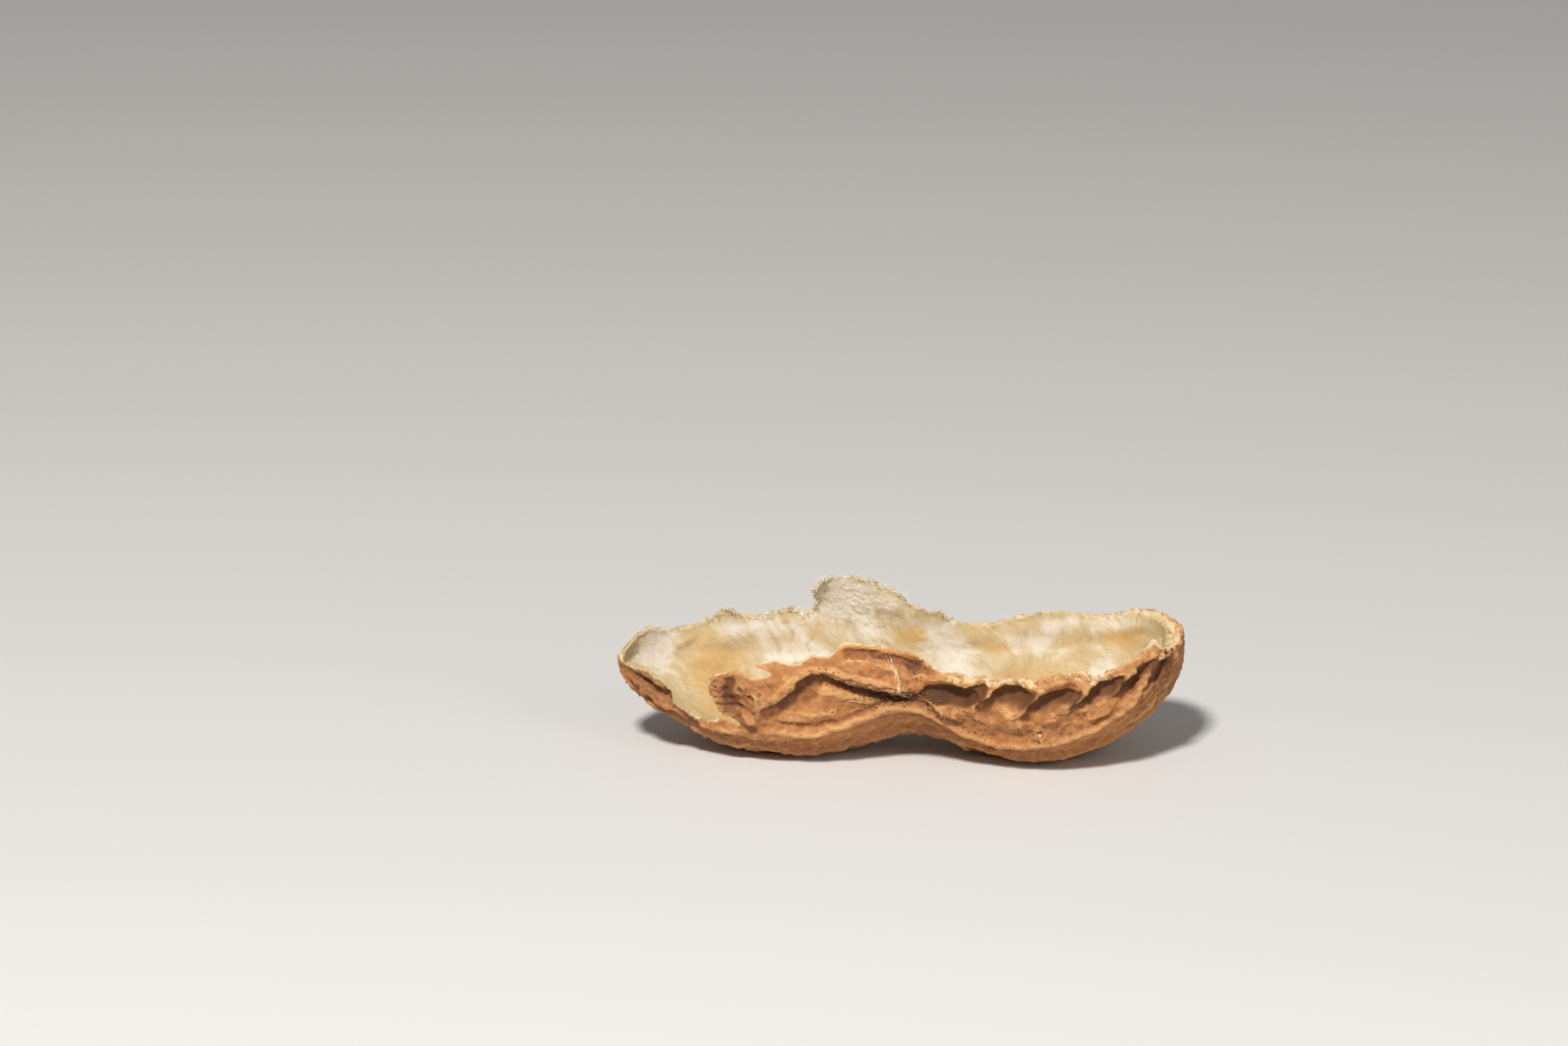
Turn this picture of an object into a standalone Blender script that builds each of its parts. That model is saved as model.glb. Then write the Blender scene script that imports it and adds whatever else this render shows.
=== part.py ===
"""Half of an empty peanut shell, torn open along its length and lying on its back.

The shell grew as one piece, so it is one solid: a two-lobed pod with ribs, links and pits raised from its
outside by a formula, hollowed by a smoother pod, and torn open along one outline in its front wall and
another in its back wall.

Frame: +X runs along the pod to its blunt tip, +Y to the high back wall with the flap, and +Z up. The origin
is on the surface it rests on, under the middle of its box. Tables are in millimetres and degrees. Their x is
measured from the pointed left tip, and their angle goes round the pod from straight down, negative towards
the front wall and positive towards the back wall.
"""

import math
import random

import bmesh
import bpy
import numpy as np

MM = 0.001
LENGTH = 42.0
WALL = 0.92
FLAT_DEPTH = 0.22  # how much of the lowest ribs the two flat spots take off

# Each station: x, half width, height of the belly, height of the middle, and how far back the middle lies
STATIONS = (
    (0.9, 1.55, 5.6, 7.1, 0.50),
    (3.8, 3.9, 3.2, 7.0, 0.60),
    (8.0, 5.75, 0.95, 6.8, 0.60),
    (12.5, 6.4, 0.0, 6.5, 0.55),
    (17.0, 6.0, 0.6, 6.6, 0.30),
    (22.6, 5.2, 2.0, 7.1, 0.00),
    (27.0, 6.4, 0.7, 7.2, -0.30),
    (31.5, 7.1, 0.0, 7.1, -0.55),
    (36.0, 6.6, 1.3, 7.7, -0.50),
    (39.5, 4.9, 3.9, 8.6, -0.40),
    (41.3, 2.6, 6.1, 9.1, -0.30),
)

# The flap of the back wall stands up straighter than the pod's round section
FLAP_X = 19.0
FLAP_REACH = 4.5
FLAP_LIFT = 0.7

# The net of faces: how many steps run round the pod up to each angle, and how many from tip to tip
OUTSIDE_STEPS = ((0, -122.0), (27, -20.0), (46, 110.0), (52, 150.0), (57, 238.0))
OUTSIDE_RINGS = 86
INSIDE_STEPS = ((0, -125.0), (14, -20.0), (26, 110.0), (30, 150.0), (34, 235.0))
INSIDE_RINGS = 46
FINE_FROM_X = 23.0  # beyond this the rings lie closer, for the slanting ribs
FINE_BY = 1.4

GIRTH_RADIUS = 6.4  # turns an angle into a distance round the pod

# Ribs of the front wall: height, half width, and the points (x, angle) that each runs through
FRONT_RIBS = (
    (0.45, 0.50, ((1.5, -52), (5.0, -44), (9.0, -50), (12.3, -54), (15.8, -57), (17.8, -62), (20.2, -66),
                  (22.6, -64), (24.1, -57), (25.5, -51), (28.4, -47), (31.6, -53), (34.8, -56), (37.1, -60),
                  (39.5, -69))),
    (0.55, 0.50, ((13.6, -105), (15.5, -103), (16.9, -99), (18.3, -95), (19.8, -90), (21.0, -84), (22.3, -80),
                  (23.4, -73), (24.6, -62))),
    (0.65, 0.58, ((14.1, -104), (13.3, -96), (12.4, -88), (11.4, -82), (10.6, -75), (10.2, -64))),
    (0.34, 0.70, ((23.6, -96), (25.6, -93), (28.3, -94), (31.4, -96), (34.2, -98), (36.5, -95), (38.6, -99))),
    (0.55, 0.54, ((35.1, -95), (34.3, -86), (33.7, -81), (32.8, -75), (31.3, -71))),
    (0.52, 0.52, ((37.8, -91), (36.9, -85), (36.4, -80), (35.8, -74), (34.8, -68))),
    (0.52, 0.56, ((31.4, -94), (30.8, -86), (30.3, -79), (29.5, -72), (28.4, -66))),
    (0.52, 0.56, ((27.4, -94), (27.5, -85), (26.8, -77), (25.6, -70), (24.8, -62))),
    (0.45, 0.50, ((39.7, -99), (39.4, -87), (38.7, -77), (37.6, -68), (36.7, -62))),
    (0.34, 0.36, ((40.5, -88), (40.3, -69), (39.7, -56), (38.6, -42), (36.6, -34))),
    (0.26, 0.30, ((20.0, -113), (20.6, -103), (20.9, -94), (21.0, -84), (21.2, -75), (21.3, -67))),
)

# Long creases of the front wall, in the same form, with a depth in place of the height
FRONT_CREASES = (
    (0.50, 0.46, ((15.0, -97), (16.9, -92), (18.5, -86), (19.8, -80), (21.2, -75))),
    (0.50, 0.46, ((17.1, -115), (19.0, -113), (20.6, -109), (22.0, -104), (23.2, -98))),
    (0.30, 0.44, ((8.2, -72), (9.2, -66), (10.2, -60))),
)

# Hollows of the front wall: depth, x, angle, half length, half breadth, and lean from the pod's axis
FRONT_HOLLOWS = (
    (0.55, 13.7, -84, 1.9, 1.1, -35),
    (0.25, 17.6, -75, 2.6, 1.0, 10),
    (0.62, 24.6, -81, 1.7, 0.80, 12),
    (0.62, 29.1, -86, 1.25, 0.78, -25),
    (0.40, 27.6, -75, 1.1, 0.60, -40),
    (0.62, 32.7, -86, 1.3, 0.72, -20),
    (0.50, 31.0, -75, 1.15, 0.58, -15),
    (0.62, 35.5, -83, 1.35, 0.70, -35),
    (0.30, 33.6, -68, 1.10, 0.55, -20),
    (0.55, 38.1, -82, 1.45, 0.62, -50),
    (0.40, 2.9, -61, 1.6, 0.70, 20),
    (0.30, 9.6, -80, 1.1, 0.8, 20),
)

# The belly and the back wall carry long ribs at these angles, wandering a little, and links between them
LONG_RIBS = (-33, -12, 10, 33, 57, 82, 108, 134)
RIB_HEIGHT = 0.38
RIB_HALF_WIDTH = 0.44
RIB_WANDER = 4.0
LINK_SPACING = 3.3
LINK_HEIGHT = 0.28
LINK_HALF_WIDTH = 0.40
PIT_DEPTH = 0.26

# Torn edges as (x, height), seen from the front. The front wall's runs tip to tip with the low gap at the
# left, the ragged end of the tall piece and the slit under its upper tongue.
FRONT_TEAR = (
    (0.0, 7.0), (0.6, 6.9), (1.4, 6.6), (2.5, 6.7), (3.3, 6.0), (4.2, 5.1), (4.8, 3.9), (5.7, 3.4),
    (6.8, 3.3), (7.9, 3.5), (9.0, 3.3), (9.7, 2.8), (9.2, 3.7), (8.3, 4.3), (7.9, 4.9), (7.5, 5.3),
    (7.7, 5.7), (7.1, 6.2), (7.6, 6.6), (7.3, 7.2), (8.3, 7.4), (9.4, 7.5), (10.3, 7.2), (11.2, 7.3),
    (11.8, 7.7), (11.2, 8.0), (10.4, 8.2), (11.4, 8.5), (12.6, 8.4), (13.9, 8.5), (14.8, 9.0),
    (15.9, 8.8), (16.3, 9.2), (17.0, 9.7), (18.3, 9.6), (19.8, 9.4), (21.2, 9.2), (22.0, 9.0),
    (22.7, 8.5), (23.5, 8.0), (24.3, 7.7), (26.9, 7.7), (29.7, 7.8), (31.4, 8.0), (32.6, 8.4),
    (34.5, 8.5), (34.9, 8.1), (35.8, 8.1), (36.6, 8.5), (37.6, 8.8), (38.3, 9.2), (39.1, 9.8),
    (39.7, 10.0), (40.1, 9.4), (40.6, 9.0), (41.2, 9.1), (41.6, 9.7), (42.0, 9.9),
)
BACK_TEAR = (
    (0.0, 7.0), (0.4, 7.4), (1.0, 8.0), (1.7, 8.5), (2.6, 8.7), (3.8, 8.35), (5.1, 8.25), (6.2, 8.35),
    (7.3, 8.8), (8.1, 9.3), (9.2, 8.9), (10.3, 8.75), (11.7, 8.9), (13.1, 9.05), (14.7, 9.2),
    (14.9, 9.9), (14.6, 10.4), (14.9, 11.1), (15.1, 11.9), (15.9, 12.2), (17.4, 12.25), (18.4, 12.0),
    (19.7, 11.7), (20.6, 11.4), (21.2, 10.9), (21.9, 10.2), (22.8, 9.85), (23.9, 9.6), (24.7, 8.85),
    (25.6, 8.45), (27.1, 8.3), (28.2, 8.3), (29.3, 8.6), (30.3, 8.95), (32.2, 9.25), (34.4, 9.05),
    (36.5, 9.15), (38.3, 9.55), (40.1, 9.85), (41.1, 9.75), (42.0, 9.9),
)
TEAR_STEP = 0.55
TEAR_RAGGED = 0.09
TEAR_SEED = 7


def smooth_through(stops, values, at):
    """A smooth curve through the values at the stops, level past its ends."""
    stops = np.asarray(stops, float)
    values = np.asarray(values, float)
    slopes = np.gradient(values, stops)
    at = np.clip(at, stops[0], stops[-1])
    i = np.clip(np.searchsorted(stops, at) - 1, 0, len(stops) - 2)
    gap = stops[i + 1] - stops[i]
    t = (at - stops[i]) / gap
    rise = 3 * t**2 - 2 * t**3
    return (
        values[i] * (1 - rise)
        + values[i + 1] * rise
        + slopes[i] * gap * (t**3 - 2 * t**2 + t)
        + slopes[i + 1] * gap * (t**3 - t**2)
    )


def turn_at(x):
    """The turn from the left tip, 0 to pi, at which a round-ended pod reaches x."""
    return np.arccos(np.clip(1 - 2 * np.asarray(x, float) / LENGTH, -1, 1))


def section(turn):
    """x, half width, depth below the middle, height of the middle and its sideways place, at a turn."""
    x, width, belly, middle, back = np.array(STATIONS).T
    stops = turn_at(x)
    roundness = np.sin(stops)
    height = smooth_through(stops, middle, turn)
    half_width = smooth_through(stops, width / roundness, turn) * np.sin(turn)
    depth = smooth_through(stops, (middle - belly) / roundness, turn) * np.sin(turn)
    return LENGTH / 2 * (1 - np.cos(turn)), half_width, depth, height, smooth_through(stops, back, turn)


def smooth_pod(turn, angle):
    """The pod without its net: points in millimetres at a turn along it and an angle round it, in radians."""
    x, width, depth, height, back = section(turn)
    across, down = np.sin(angle), np.cos(angle)
    past_middle = np.clip(angle - math.pi / 2, 0, math.pi / 2)
    lift = FLAP_LIFT * np.exp(-(((x - FLAP_X) / FLAP_REACH) ** 4)) * (past_middle > 0) * (angle <= math.pi)
    y = width * np.where(lift > 0, 1 - (1 - across) * (1 - 0.8 * lift), across)
    rise = width * ((1 - lift) * -down + lift * past_middle)
    z = height + np.where(down > 0, -depth * down, rise)
    return np.stack([x - LENGTH / 2, back + y, z], -1)


def outward(turn, angle):
    """The way out of the smooth pod, from two short steps over its surface."""
    step = 0.004
    inner_turn = np.clip(turn, 2 * step, math.pi - 2 * step)
    along = smooth_pod(inner_turn + step, angle) - smooth_pod(inner_turn - step, angle)
    around = smooth_pod(inner_turn, angle + step) - smooth_pod(inner_turn, angle - step)
    way = np.cross(around, along)
    way /= np.linalg.norm(way, axis=-1, keepdims=True) + 1e-12
    tip = np.stack([-np.cos(turn), 0 * turn, 0 * turn], -1)
    return np.where((np.sin(turn) < 2 * step)[..., None], tip, way)


def distance_to_line(x, girth, points):
    """How far each point of the unrolled pod lies from a smooth line through points."""
    px, pa = np.array(points, float).T
    pg = np.radians(pa) * GIRTH_RADIUS
    run = np.concatenate([[0], np.cumsum(np.hypot(np.diff(px), np.diff(pg)))])
    fine = np.linspace(0, run[-1], 8 * len(points))
    lx, lg = smooth_through(run, px, fine), smooth_through(run, pg, fine)
    return np.hypot(x[:, None] - lx, girth[:, None] - lg).min(axis=1)


def rib(x, girth, half_width, points):
    """A rounded rib of height 1 along a line."""
    return np.exp(-((distance_to_line(x, girth, points) / half_width) ** 2))


def hollow(x, girth, at_x, at_angle, length, breadth, lean):
    """A flat-bottomed oval hollow of depth 1."""
    dx, dg = x - at_x, girth - math.radians(at_angle) * GIRTH_RADIUS
    c, s = math.cos(math.radians(lean)), math.sin(math.radians(lean))
    far = np.hypot((dx * c + dg * s) / length, (dg * c - dx * s) / breadth)
    return np.exp(-(far**3))


def wander(angle):
    """The points of one long rib, swaying to and fro along the pod."""
    xs = np.linspace(0.6, LENGTH - 0.6, 12)
    sway = RIB_WANDER * np.sin(xs * 0.55 + angle) + RIB_WANDER / 2 * np.sin(xs * 1.3 - angle)
    return [(x, angle + s) for x, s in zip(xs, sway)]


def net_by_rule(x, girth):
    """The ribs, links and pits of the belly and the back wall."""
    draw = random.Random(11)
    height = np.zeros_like(x)
    for angle in LONG_RIBS:
        height = np.maximum(height, RIB_HEIGHT * rib(x, girth, RIB_HALF_WIDTH, wander(angle)))
    pits = np.zeros_like(x)
    for low, high in zip(LONG_RIBS, LONG_RIBS[1:]):
        at = 2.0 + draw.uniform(0, LINK_SPACING)
        while at < LENGTH - 2:
            slant = draw.uniform(-0.9, 0.9)
            link = ((at - slant, low), (at, (low + high) / 2), (at + slant, high))
            height = np.maximum(height, LINK_HEIGHT * rib(x, girth, LINK_HALF_WIDTH, link))
            gap = LINK_SPACING * draw.uniform(0.7, 1.3)
            deep = PIT_DEPTH * draw.uniform(0.6, 1.3)
            middle = (low + high) / 2 + draw.uniform(-3, 3)
            pits = np.maximum(pits, deep * hollow(x, girth, at + gap / 2, middle, gap * 0.34, 0.75, 10 * slant))
            at += gap
    return height - pits


def relief(turn, angle):
    """How far the outside stands out of the smooth pod, in millimetres."""
    x = section(turn)[0]
    girth = angle * GIRTH_RADIUS
    front = np.zeros_like(x)
    for height, half_width, points in FRONT_RIBS:
        front = np.maximum(front, height * rib(x, girth, half_width, points))
    for depth, half_width, points in FRONT_CREASES:
        front -= depth * rib(x, girth, half_width, points)
    for depth, at_x, at_angle, length, breadth, lean in FRONT_HOLLOWS:
        front -= depth * hollow(x, girth, at_x, at_angle, length, breadth, lean)
    share = np.clip((np.degrees(angle) + 44) / 10, 0, 1)
    near_tip = np.clip(np.sin(turn) / 0.35, 0, 1)
    return (front * (1 - share) + net_by_rule(x, girth) * share) * near_tip


def wall(turn, angle):
    """Thickness: full at the blunt tip, thin at the flap, the pointed tip and the ragged left of both walls."""
    x = section(turn)[0]
    degrees = np.degrees(angle)
    thin_back = np.clip((degrees - 70) / 50, 0, 1) * np.exp(-(((x - 13) / 9) ** 4))
    thin_front = np.clip((-degrees - 55) / 50, 0, 1) * np.exp(-(((x - 11) / 6) ** 4))
    thin_tip = np.clip((6 - x) / 4, 0, 1)
    thick_tip = np.clip((x - 36) / 5, 0, 1)
    return WALL * (1 - 0.24 * np.maximum(np.maximum(thin_back, thin_front), thin_tip) + 0.45 * thick_tip)


def outside(turn, angle):
    return smooth_pod(turn, angle) + relief(turn, angle)[:, None] * outward(turn, angle)


def inside(turn, angle):
    """The cavity: the wall's thickness in from the smooth pod, with the pits showing through as low swellings."""
    swell = 0.7 * np.minimum(relief(turn, angle), 0)
    return smooth_pod(turn, angle) - (wall(turn, angle) - swell)[:, None] * outward(turn, angle)


def spread_turns(rings):
    """Turns that space the rings evenly along the belly, and closer over the right lobe."""
    fine = np.linspace(0, math.pi, 400)
    line = smooth_pod(fine, np.zeros_like(fine))
    steps = np.linalg.norm(np.diff(line, axis=0), axis=1)
    steps *= np.where(line[1:, 0] + LENGTH / 2 > FINE_FROM_X, FINE_BY, 1)
    run = np.concatenate([[0], np.cumsum(steps)])
    return np.interp(np.linspace(0, run[-1], rings + 1), run, fine)


def add_object(name, mesh, helpers=None):
    obj = bpy.data.objects.new(name, mesh)
    (helpers or bpy.context.scene.collection).objects.link(obj)
    return obj


def pod_from_ball(name, rings, steps, place, helpers):
    """A ball whose rings run from tip to tip, with each point moved to its place on the pod."""
    bm = bmesh.new()
    bmesh.ops.create_uvsphere(bm, u_segments=steps[-1][0], v_segments=rings, radius=1)
    points = np.array([v.co for v in bm.verts])
    ring = np.rint(np.arccos(np.clip(-points[:, 2], -1, 1)) / math.pi * rings).astype(int)
    share = np.mod(np.arctan2(points[:, 1], points[:, 0]) / (2 * math.pi) + 1e-6, 1) * steps[-1][0]
    angle = np.radians(np.interp(share, *np.array(steps, float).T))
    around = np.where(angle > math.pi, angle - 2 * math.pi, angle)
    for vert, point in zip(bm.verts, place(spread_turns(rings)[ring], around) * MM):
        vert.co = point
    bmesh.ops.recalc_face_normals(bm, faces=bm.faces)
    # Each four-sided face is folded the way that follows the ribs best
    bmesh.ops.triangulate(bm, faces=bm.faces)
    bmesh.ops.beautify_fill(bm, faces=bm.faces, edges=bm.edges, method="ANGLE")
    mesh = bpy.data.meshes.new(name)
    bm.to_mesh(mesh)
    bm.free()
    return add_object(name, mesh, helpers)


def ragged(outline, draw):
    """The outline in short steps, each nudged a little, with its own points kept."""
    points = []
    for (x0, z0), (x1, z1) in zip(outline, outline[1:]):
        points.append((x0, z0))
        steps = int(math.hypot(x1 - x0, z1 - z0) / TEAR_STEP)
        for i in range(1, steps):
            t = i / steps
            points.append((x0 + (x1 - x0) * t + draw.gauss(0, TEAR_RAGGED),
                           z0 + (z1 - z0) * t + draw.gauss(0, TEAR_RAGGED)))
    return points + [outline[-1]]


def tear_cutter(name, outline, from_y, to_y, draw, helpers):
    """A slab standing over a torn edge: the outline seen from the front, extruded from one y to another."""
    beyond, top = 3.0, 24.0
    edge = ragged(outline, draw)
    around = [(-beyond, edge[0][1])] + edge + [(LENGTH + beyond, edge[-1][1])]
    around += [(LENGTH + beyond, top), (-beyond, top)]
    curve = bpy.data.curves.new(name, "CURVE")
    curve.dimensions = "2D"
    curve.fill_mode = "BOTH"
    curve.extrude = (to_y - from_y) / 2 * MM
    spline = curve.splines.new("POLY")
    spline.points.add(len(around) - 1)
    for point, (x, z) in zip(spline.points, around):
        point.co = ((x - LENGTH / 2) * MM, z * MM, 0, 1)
    spline.use_cyclic_u = True
    flat = add_object(name + "_outline", curve, helpers)
    flat.rotation_euler = (math.pi / 2, 0, 0)
    flat.location = (0, (from_y + to_y) / 2 * MM, 0)
    return mesh_from(flat, name, helpers)


def mesh_from(obj, name, helpers):
    """The object as it evaluates, as a welded mesh in its place. The object itself is removed."""
    bpy.context.view_layer.update()
    evaluated = obj.evaluated_get(bpy.context.evaluated_depsgraph_get())
    mesh = bpy.data.meshes.new_from_object(evaluated)
    mesh.transform(obj.matrix_world)
    bm = bmesh.new()
    bm.from_mesh(mesh)
    bmesh.ops.remove_doubles(bm, verts=bm.verts, dist=0.001 * MM)
    bmesh.ops.recalc_face_normals(bm, faces=bm.faces)
    bm.to_mesh(mesh)
    bm.free()
    mesh.name = name
    bpy.data.objects.remove(obj)
    return add_object(name, mesh, helpers)


def floor_cutter(helpers):
    """A block whose top takes the flat spots off the two lobes."""
    bpy.ops.mesh.primitive_cube_add(size=1, location=(0, 0, (FLAT_DEPTH - 5) * MM))
    block = bpy.context.object
    block.name = "floor_cutter"
    block.scale = (60 * MM, 30 * MM, 10 * MM)
    for collection in block.users_collection:
        collection.objects.unlink(block)
    helpers.objects.link(block)
    return block


def cut(obj, cutter):
    modifier = obj.modifiers.new("cut_" + cutter.name, "BOOLEAN")
    modifier.operation = "DIFFERENCE"
    modifier.solver = "EXACT"
    modifier.object = cutter


def drop_crumbs(obj):
    """Keeps the biggest piece and drops the crumbs that the tear cut loose from it."""
    bm = bmesh.new()
    bm.from_mesh(obj.data)
    left, pieces = set(bm.verts), []
    while left:
        front, piece = {left.pop()}, set()
        while front:
            piece |= front
            front = {edge.other_vert(vert) for vert in front for edge in vert.link_edges} - piece
        left -= piece
        pieces.append(piece)
    for piece in sorted(pieces, key=len)[:-1]:
        bmesh.ops.delete(bm, geom=list(piece), context="VERTS")
    bm.to_mesh(obj.data)
    bm.free()


def husk_material():
    """Dry, matt, tan husk."""
    material = bpy.data.materials.new("husk")
    material.use_nodes = True
    shader = material.node_tree.nodes["Principled BSDF"]
    shader.inputs["Base Color"].default_value = (0.52, 0.29, 0.13, 1)
    shader.inputs["Roughness"].default_value = 0.75
    shader.inputs["Metallic"].default_value = 0.0
    return material


def stand_over_origin(obj):
    """Moves the mesh so that its box stands on the origin."""
    points = np.array([v.co for v in obj.data.vertices])
    low, high = points.min(axis=0), points.max(axis=0)
    for vert in obj.data.vertices:
        vert.co.x -= (low[0] + high[0]) / 2
        vert.co.y -= (low[1] + high[1]) / 2
        vert.co.z -= low[2]


def main():
    for obj in list(bpy.data.objects):
        bpy.data.objects.remove(obj)
    scene = bpy.context.scene.collection
    shell_parts = bpy.data.collections.new("peanut_half_shell")
    helpers = bpy.data.collections.new("cutters")
    scene.children.link(shell_parts)
    scene.children.link(helpers)
    draw = random.Random(TEAR_SEED)

    pod = pod_from_ball("pod", OUTSIDE_RINGS, OUTSIDE_STEPS, outside, helpers)
    cutters = (
        pod_from_ball("cavity", INSIDE_RINGS, INSIDE_STEPS, inside, helpers),
        tear_cutter("front_tear", FRONT_TEAR, -12.0, 0.15, draw, helpers),
        tear_cutter("back_tear", BACK_TEAR, -0.15, 14.0, draw, helpers),
        floor_cutter(helpers),
    )
    for cutter in cutters:
        cut(pod, cutter)
    shell = mesh_from(pod, "half_shell", shell_parts)
    for cutter in cutters:
        bpy.data.objects.remove(cutter)
    drop_crumbs(shell)
    stand_over_origin(shell)
    shell.data.shade_smooth()
    shell.data.set_sharp_from_angle(angle=math.radians(50))
    shell.data.materials.append(husk_material())


main()
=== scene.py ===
# %% [markdown]
# # An empty half of a peanut shell
#
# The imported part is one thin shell, lying hollow side up. It already has the two lobes, the torn outline, the
# ribs and the pits. What it lacks is everything finer than half a millimetre and every colour. This script
# keeps its size and adds those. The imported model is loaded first, because every later piece is placed by it.

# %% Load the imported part
import math
import random

import bmesh
import bpy
import numpy as np
from mathutils import Matrix, Vector, noise
from mathutils.bvhtree import BVHTree
from mathutils.kdtree import KDTree


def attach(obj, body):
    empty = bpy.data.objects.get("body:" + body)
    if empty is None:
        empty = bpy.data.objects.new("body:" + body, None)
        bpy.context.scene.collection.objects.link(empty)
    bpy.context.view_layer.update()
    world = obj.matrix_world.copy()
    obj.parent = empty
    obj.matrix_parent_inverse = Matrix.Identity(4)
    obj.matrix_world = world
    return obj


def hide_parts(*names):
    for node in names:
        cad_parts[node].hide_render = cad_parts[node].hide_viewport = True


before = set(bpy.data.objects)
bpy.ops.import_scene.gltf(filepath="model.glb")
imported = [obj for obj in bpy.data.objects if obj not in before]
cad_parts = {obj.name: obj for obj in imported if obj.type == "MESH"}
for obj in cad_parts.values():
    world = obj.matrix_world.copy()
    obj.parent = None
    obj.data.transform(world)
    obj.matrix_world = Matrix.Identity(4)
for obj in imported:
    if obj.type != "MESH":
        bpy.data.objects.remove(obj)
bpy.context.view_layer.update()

MM = 0.001

# %% [markdown]
# The photograph was taken with a long lens from in front, looking down a little. A camera at that distance and
# tilt shows the same amount of the inside as of the outside. It is aimed beside the shell, so the shell sits
# low and to the right in the picture as it does in the photograph.

# %% Set up the camera
PICTURE_WIDTH, PICTURE_HEIGHT = 1600, 1067
LENS, SENSOR = 135, 36
PIXELS_PER_MM = 13.81
LOOK_DOWN = math.radians(17)
SHELL_CENTRE = Vector((0, 0, 6.5)) * MM
CENTRE_PIXEL = (918, 680)


def stand(name, data, place, target=(0, 0, 0)):
    """Put a camera or a light in the scene at a place, aimed at a target."""
    made = bpy.data.objects.new(name, data)
    made.location = place
    made.rotation_euler = (Vector(target) - Vector(place)).to_track_quat("-Z", "Y").to_euler()
    bpy.context.scene.collection.objects.link(made)
    return made


camera_data = bpy.data.cameras.new("camera")
camera_data.lens, camera_data.sensor_width, camera_data.clip_start = LENS, SENSOR, 0.01
distance = LENS / SENSOR * PICTURE_WIDTH / PIXELS_PER_MM * MM
place = SHELL_CENTRE + distance * Vector((0, -math.cos(LOOK_DOWN), math.sin(LOOK_DOWN)))
aim = (SHELL_CENTRE - Vector((1, 0, 0)) * (CENTRE_PIXEL[0] - PICTURE_WIDTH / 2) / PIXELS_PER_MM * MM
       + Vector((0, math.sin(LOOK_DOWN), math.cos(LOOK_DOWN)))
       * (CENTRE_PIXEL[1] - PICTURE_HEIGHT / 2) / PIXELS_PER_MM * MM)
bpy.context.scene.camera = stand("camera", camera_data, place, aim)
print("camera at", [round(c, 4) for c in place], "and", round(distance, 3), "m away")

# %% [markdown]
# A pale matt floor and soft lights show a part best. The main light stands halfway up in front, a little left, as
# in the photograph, so each rib shades the hollow to its right and the rim shades what lies under it. A wide,
# weak light from the right and an even pale sky keep the shade open.

# %% Lay the floor
def new_material(name, **settings):
    """A material with these settings on its shader: returns both."""
    made = bpy.data.materials.new(name)
    made.use_nodes = True
    shader = made.node_tree.nodes["Principled BSDF"]
    for socket, value in settings.items():
        shader.inputs[socket.replace("_", " ")].default_value = value
    return made, shader


def cover(obj, material):
    """Give an object this material and no other."""
    obj.data.materials.clear()
    obj.data.materials.append(material)


bpy.ops.mesh.primitive_grid_add(x_subdivisions=4, y_subdivisions=4, size=6)
floor = bpy.context.object
floor.name = "floor"
cover(floor, new_material("floor_paint", Base_Color=(0.72, 0.71, 0.69, 1), Roughness=0.85)[0])
print("floor", floor.dimensions[:2])


# %% Hang the lights
def hang_light(name, place, size, watts, colour):
    """A square soft light that shines at the shell."""
    data = bpy.data.lights.new(name, "AREA")
    data.size, data.energy, data.color = size, watts, colour
    stand(name, data, place)


hang_light("main_light", (-0.10, -0.37, 0.44), 0.07, 3.7, (1.0, 0.975, 0.945))
hang_light("side_light", (0.42, -0.42, 0.26), 0.40, 0.75, (0.96, 0.98, 1.0))
sky = bpy.data.worlds.new("sky")
sky.use_nodes = True
sky.node_tree.nodes["Background"].inputs["Color"].default_value = (1.0, 0.99, 0.97, 1)
sky.node_tree.nodes["Background"].inputs["Strength"].default_value = 0.18
bpy.context.scene.world = sky
bpy.context.scene.view_settings.view_transform = "Standard"
print("lights", [light.name for light in bpy.data.lights])

# %% [markdown]
# The shell is worked on as a copy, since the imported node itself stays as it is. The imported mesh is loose
# triangles, so the copy is merged first. The tear was cut with slabs whose faces run straight from front to
# back, or stand square across it. So the faces that do either, and hang together in a band, are the torn edge.
# They part the rest into two skins, and the one that reaches the floor is the outside.

# %% Copy the shell and tell its skins apart
def only(obj):
    """Select one object and nothing else."""
    bpy.ops.object.select_all(action="DESELECT")
    obj.select_set(True)
    bpy.context.view_layer.objects.active = obj


only(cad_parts["half_shell"])
bpy.ops.object.duplicate()
shell = bpy.context.object
shell.name = shell.data.name = "peanut_shell"
shell.parent = None
for key in [key for key in shell.keys() if key.startswith("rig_")]:
    del shell[key]
only(shell)
bpy.ops.object.mode_set(mode="EDIT")
bpy.ops.mesh.select_all(action="SELECT")
bpy.ops.mesh.remove_doubles(threshold=1e-6)
bpy.ops.object.mode_set(mode="OBJECT")

coarse = bmesh.new()
coarse.from_mesh(shell.data)
coarse.normal_update()


def patches_of(faces):
    """Groups of faces that hang together, from the smallest to the largest."""
    left, patches = set(faces), []
    while left:
        front, patch = {left.pop()}, set()
        while front:
            patch |= front
            front = ({n for f in front for e in f.edges for n in e.link_faces} & left) - patch
        left -= patch
        patches.append(patch)
    return sorted(patches, key=len)


def along_the_slabs(face):
    tilt = abs(face.normal.y)
    return (tilt < 2e-3 or 1 - tilt < 1e-5) and face.calc_center_median().z > 0.3 * MM


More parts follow.
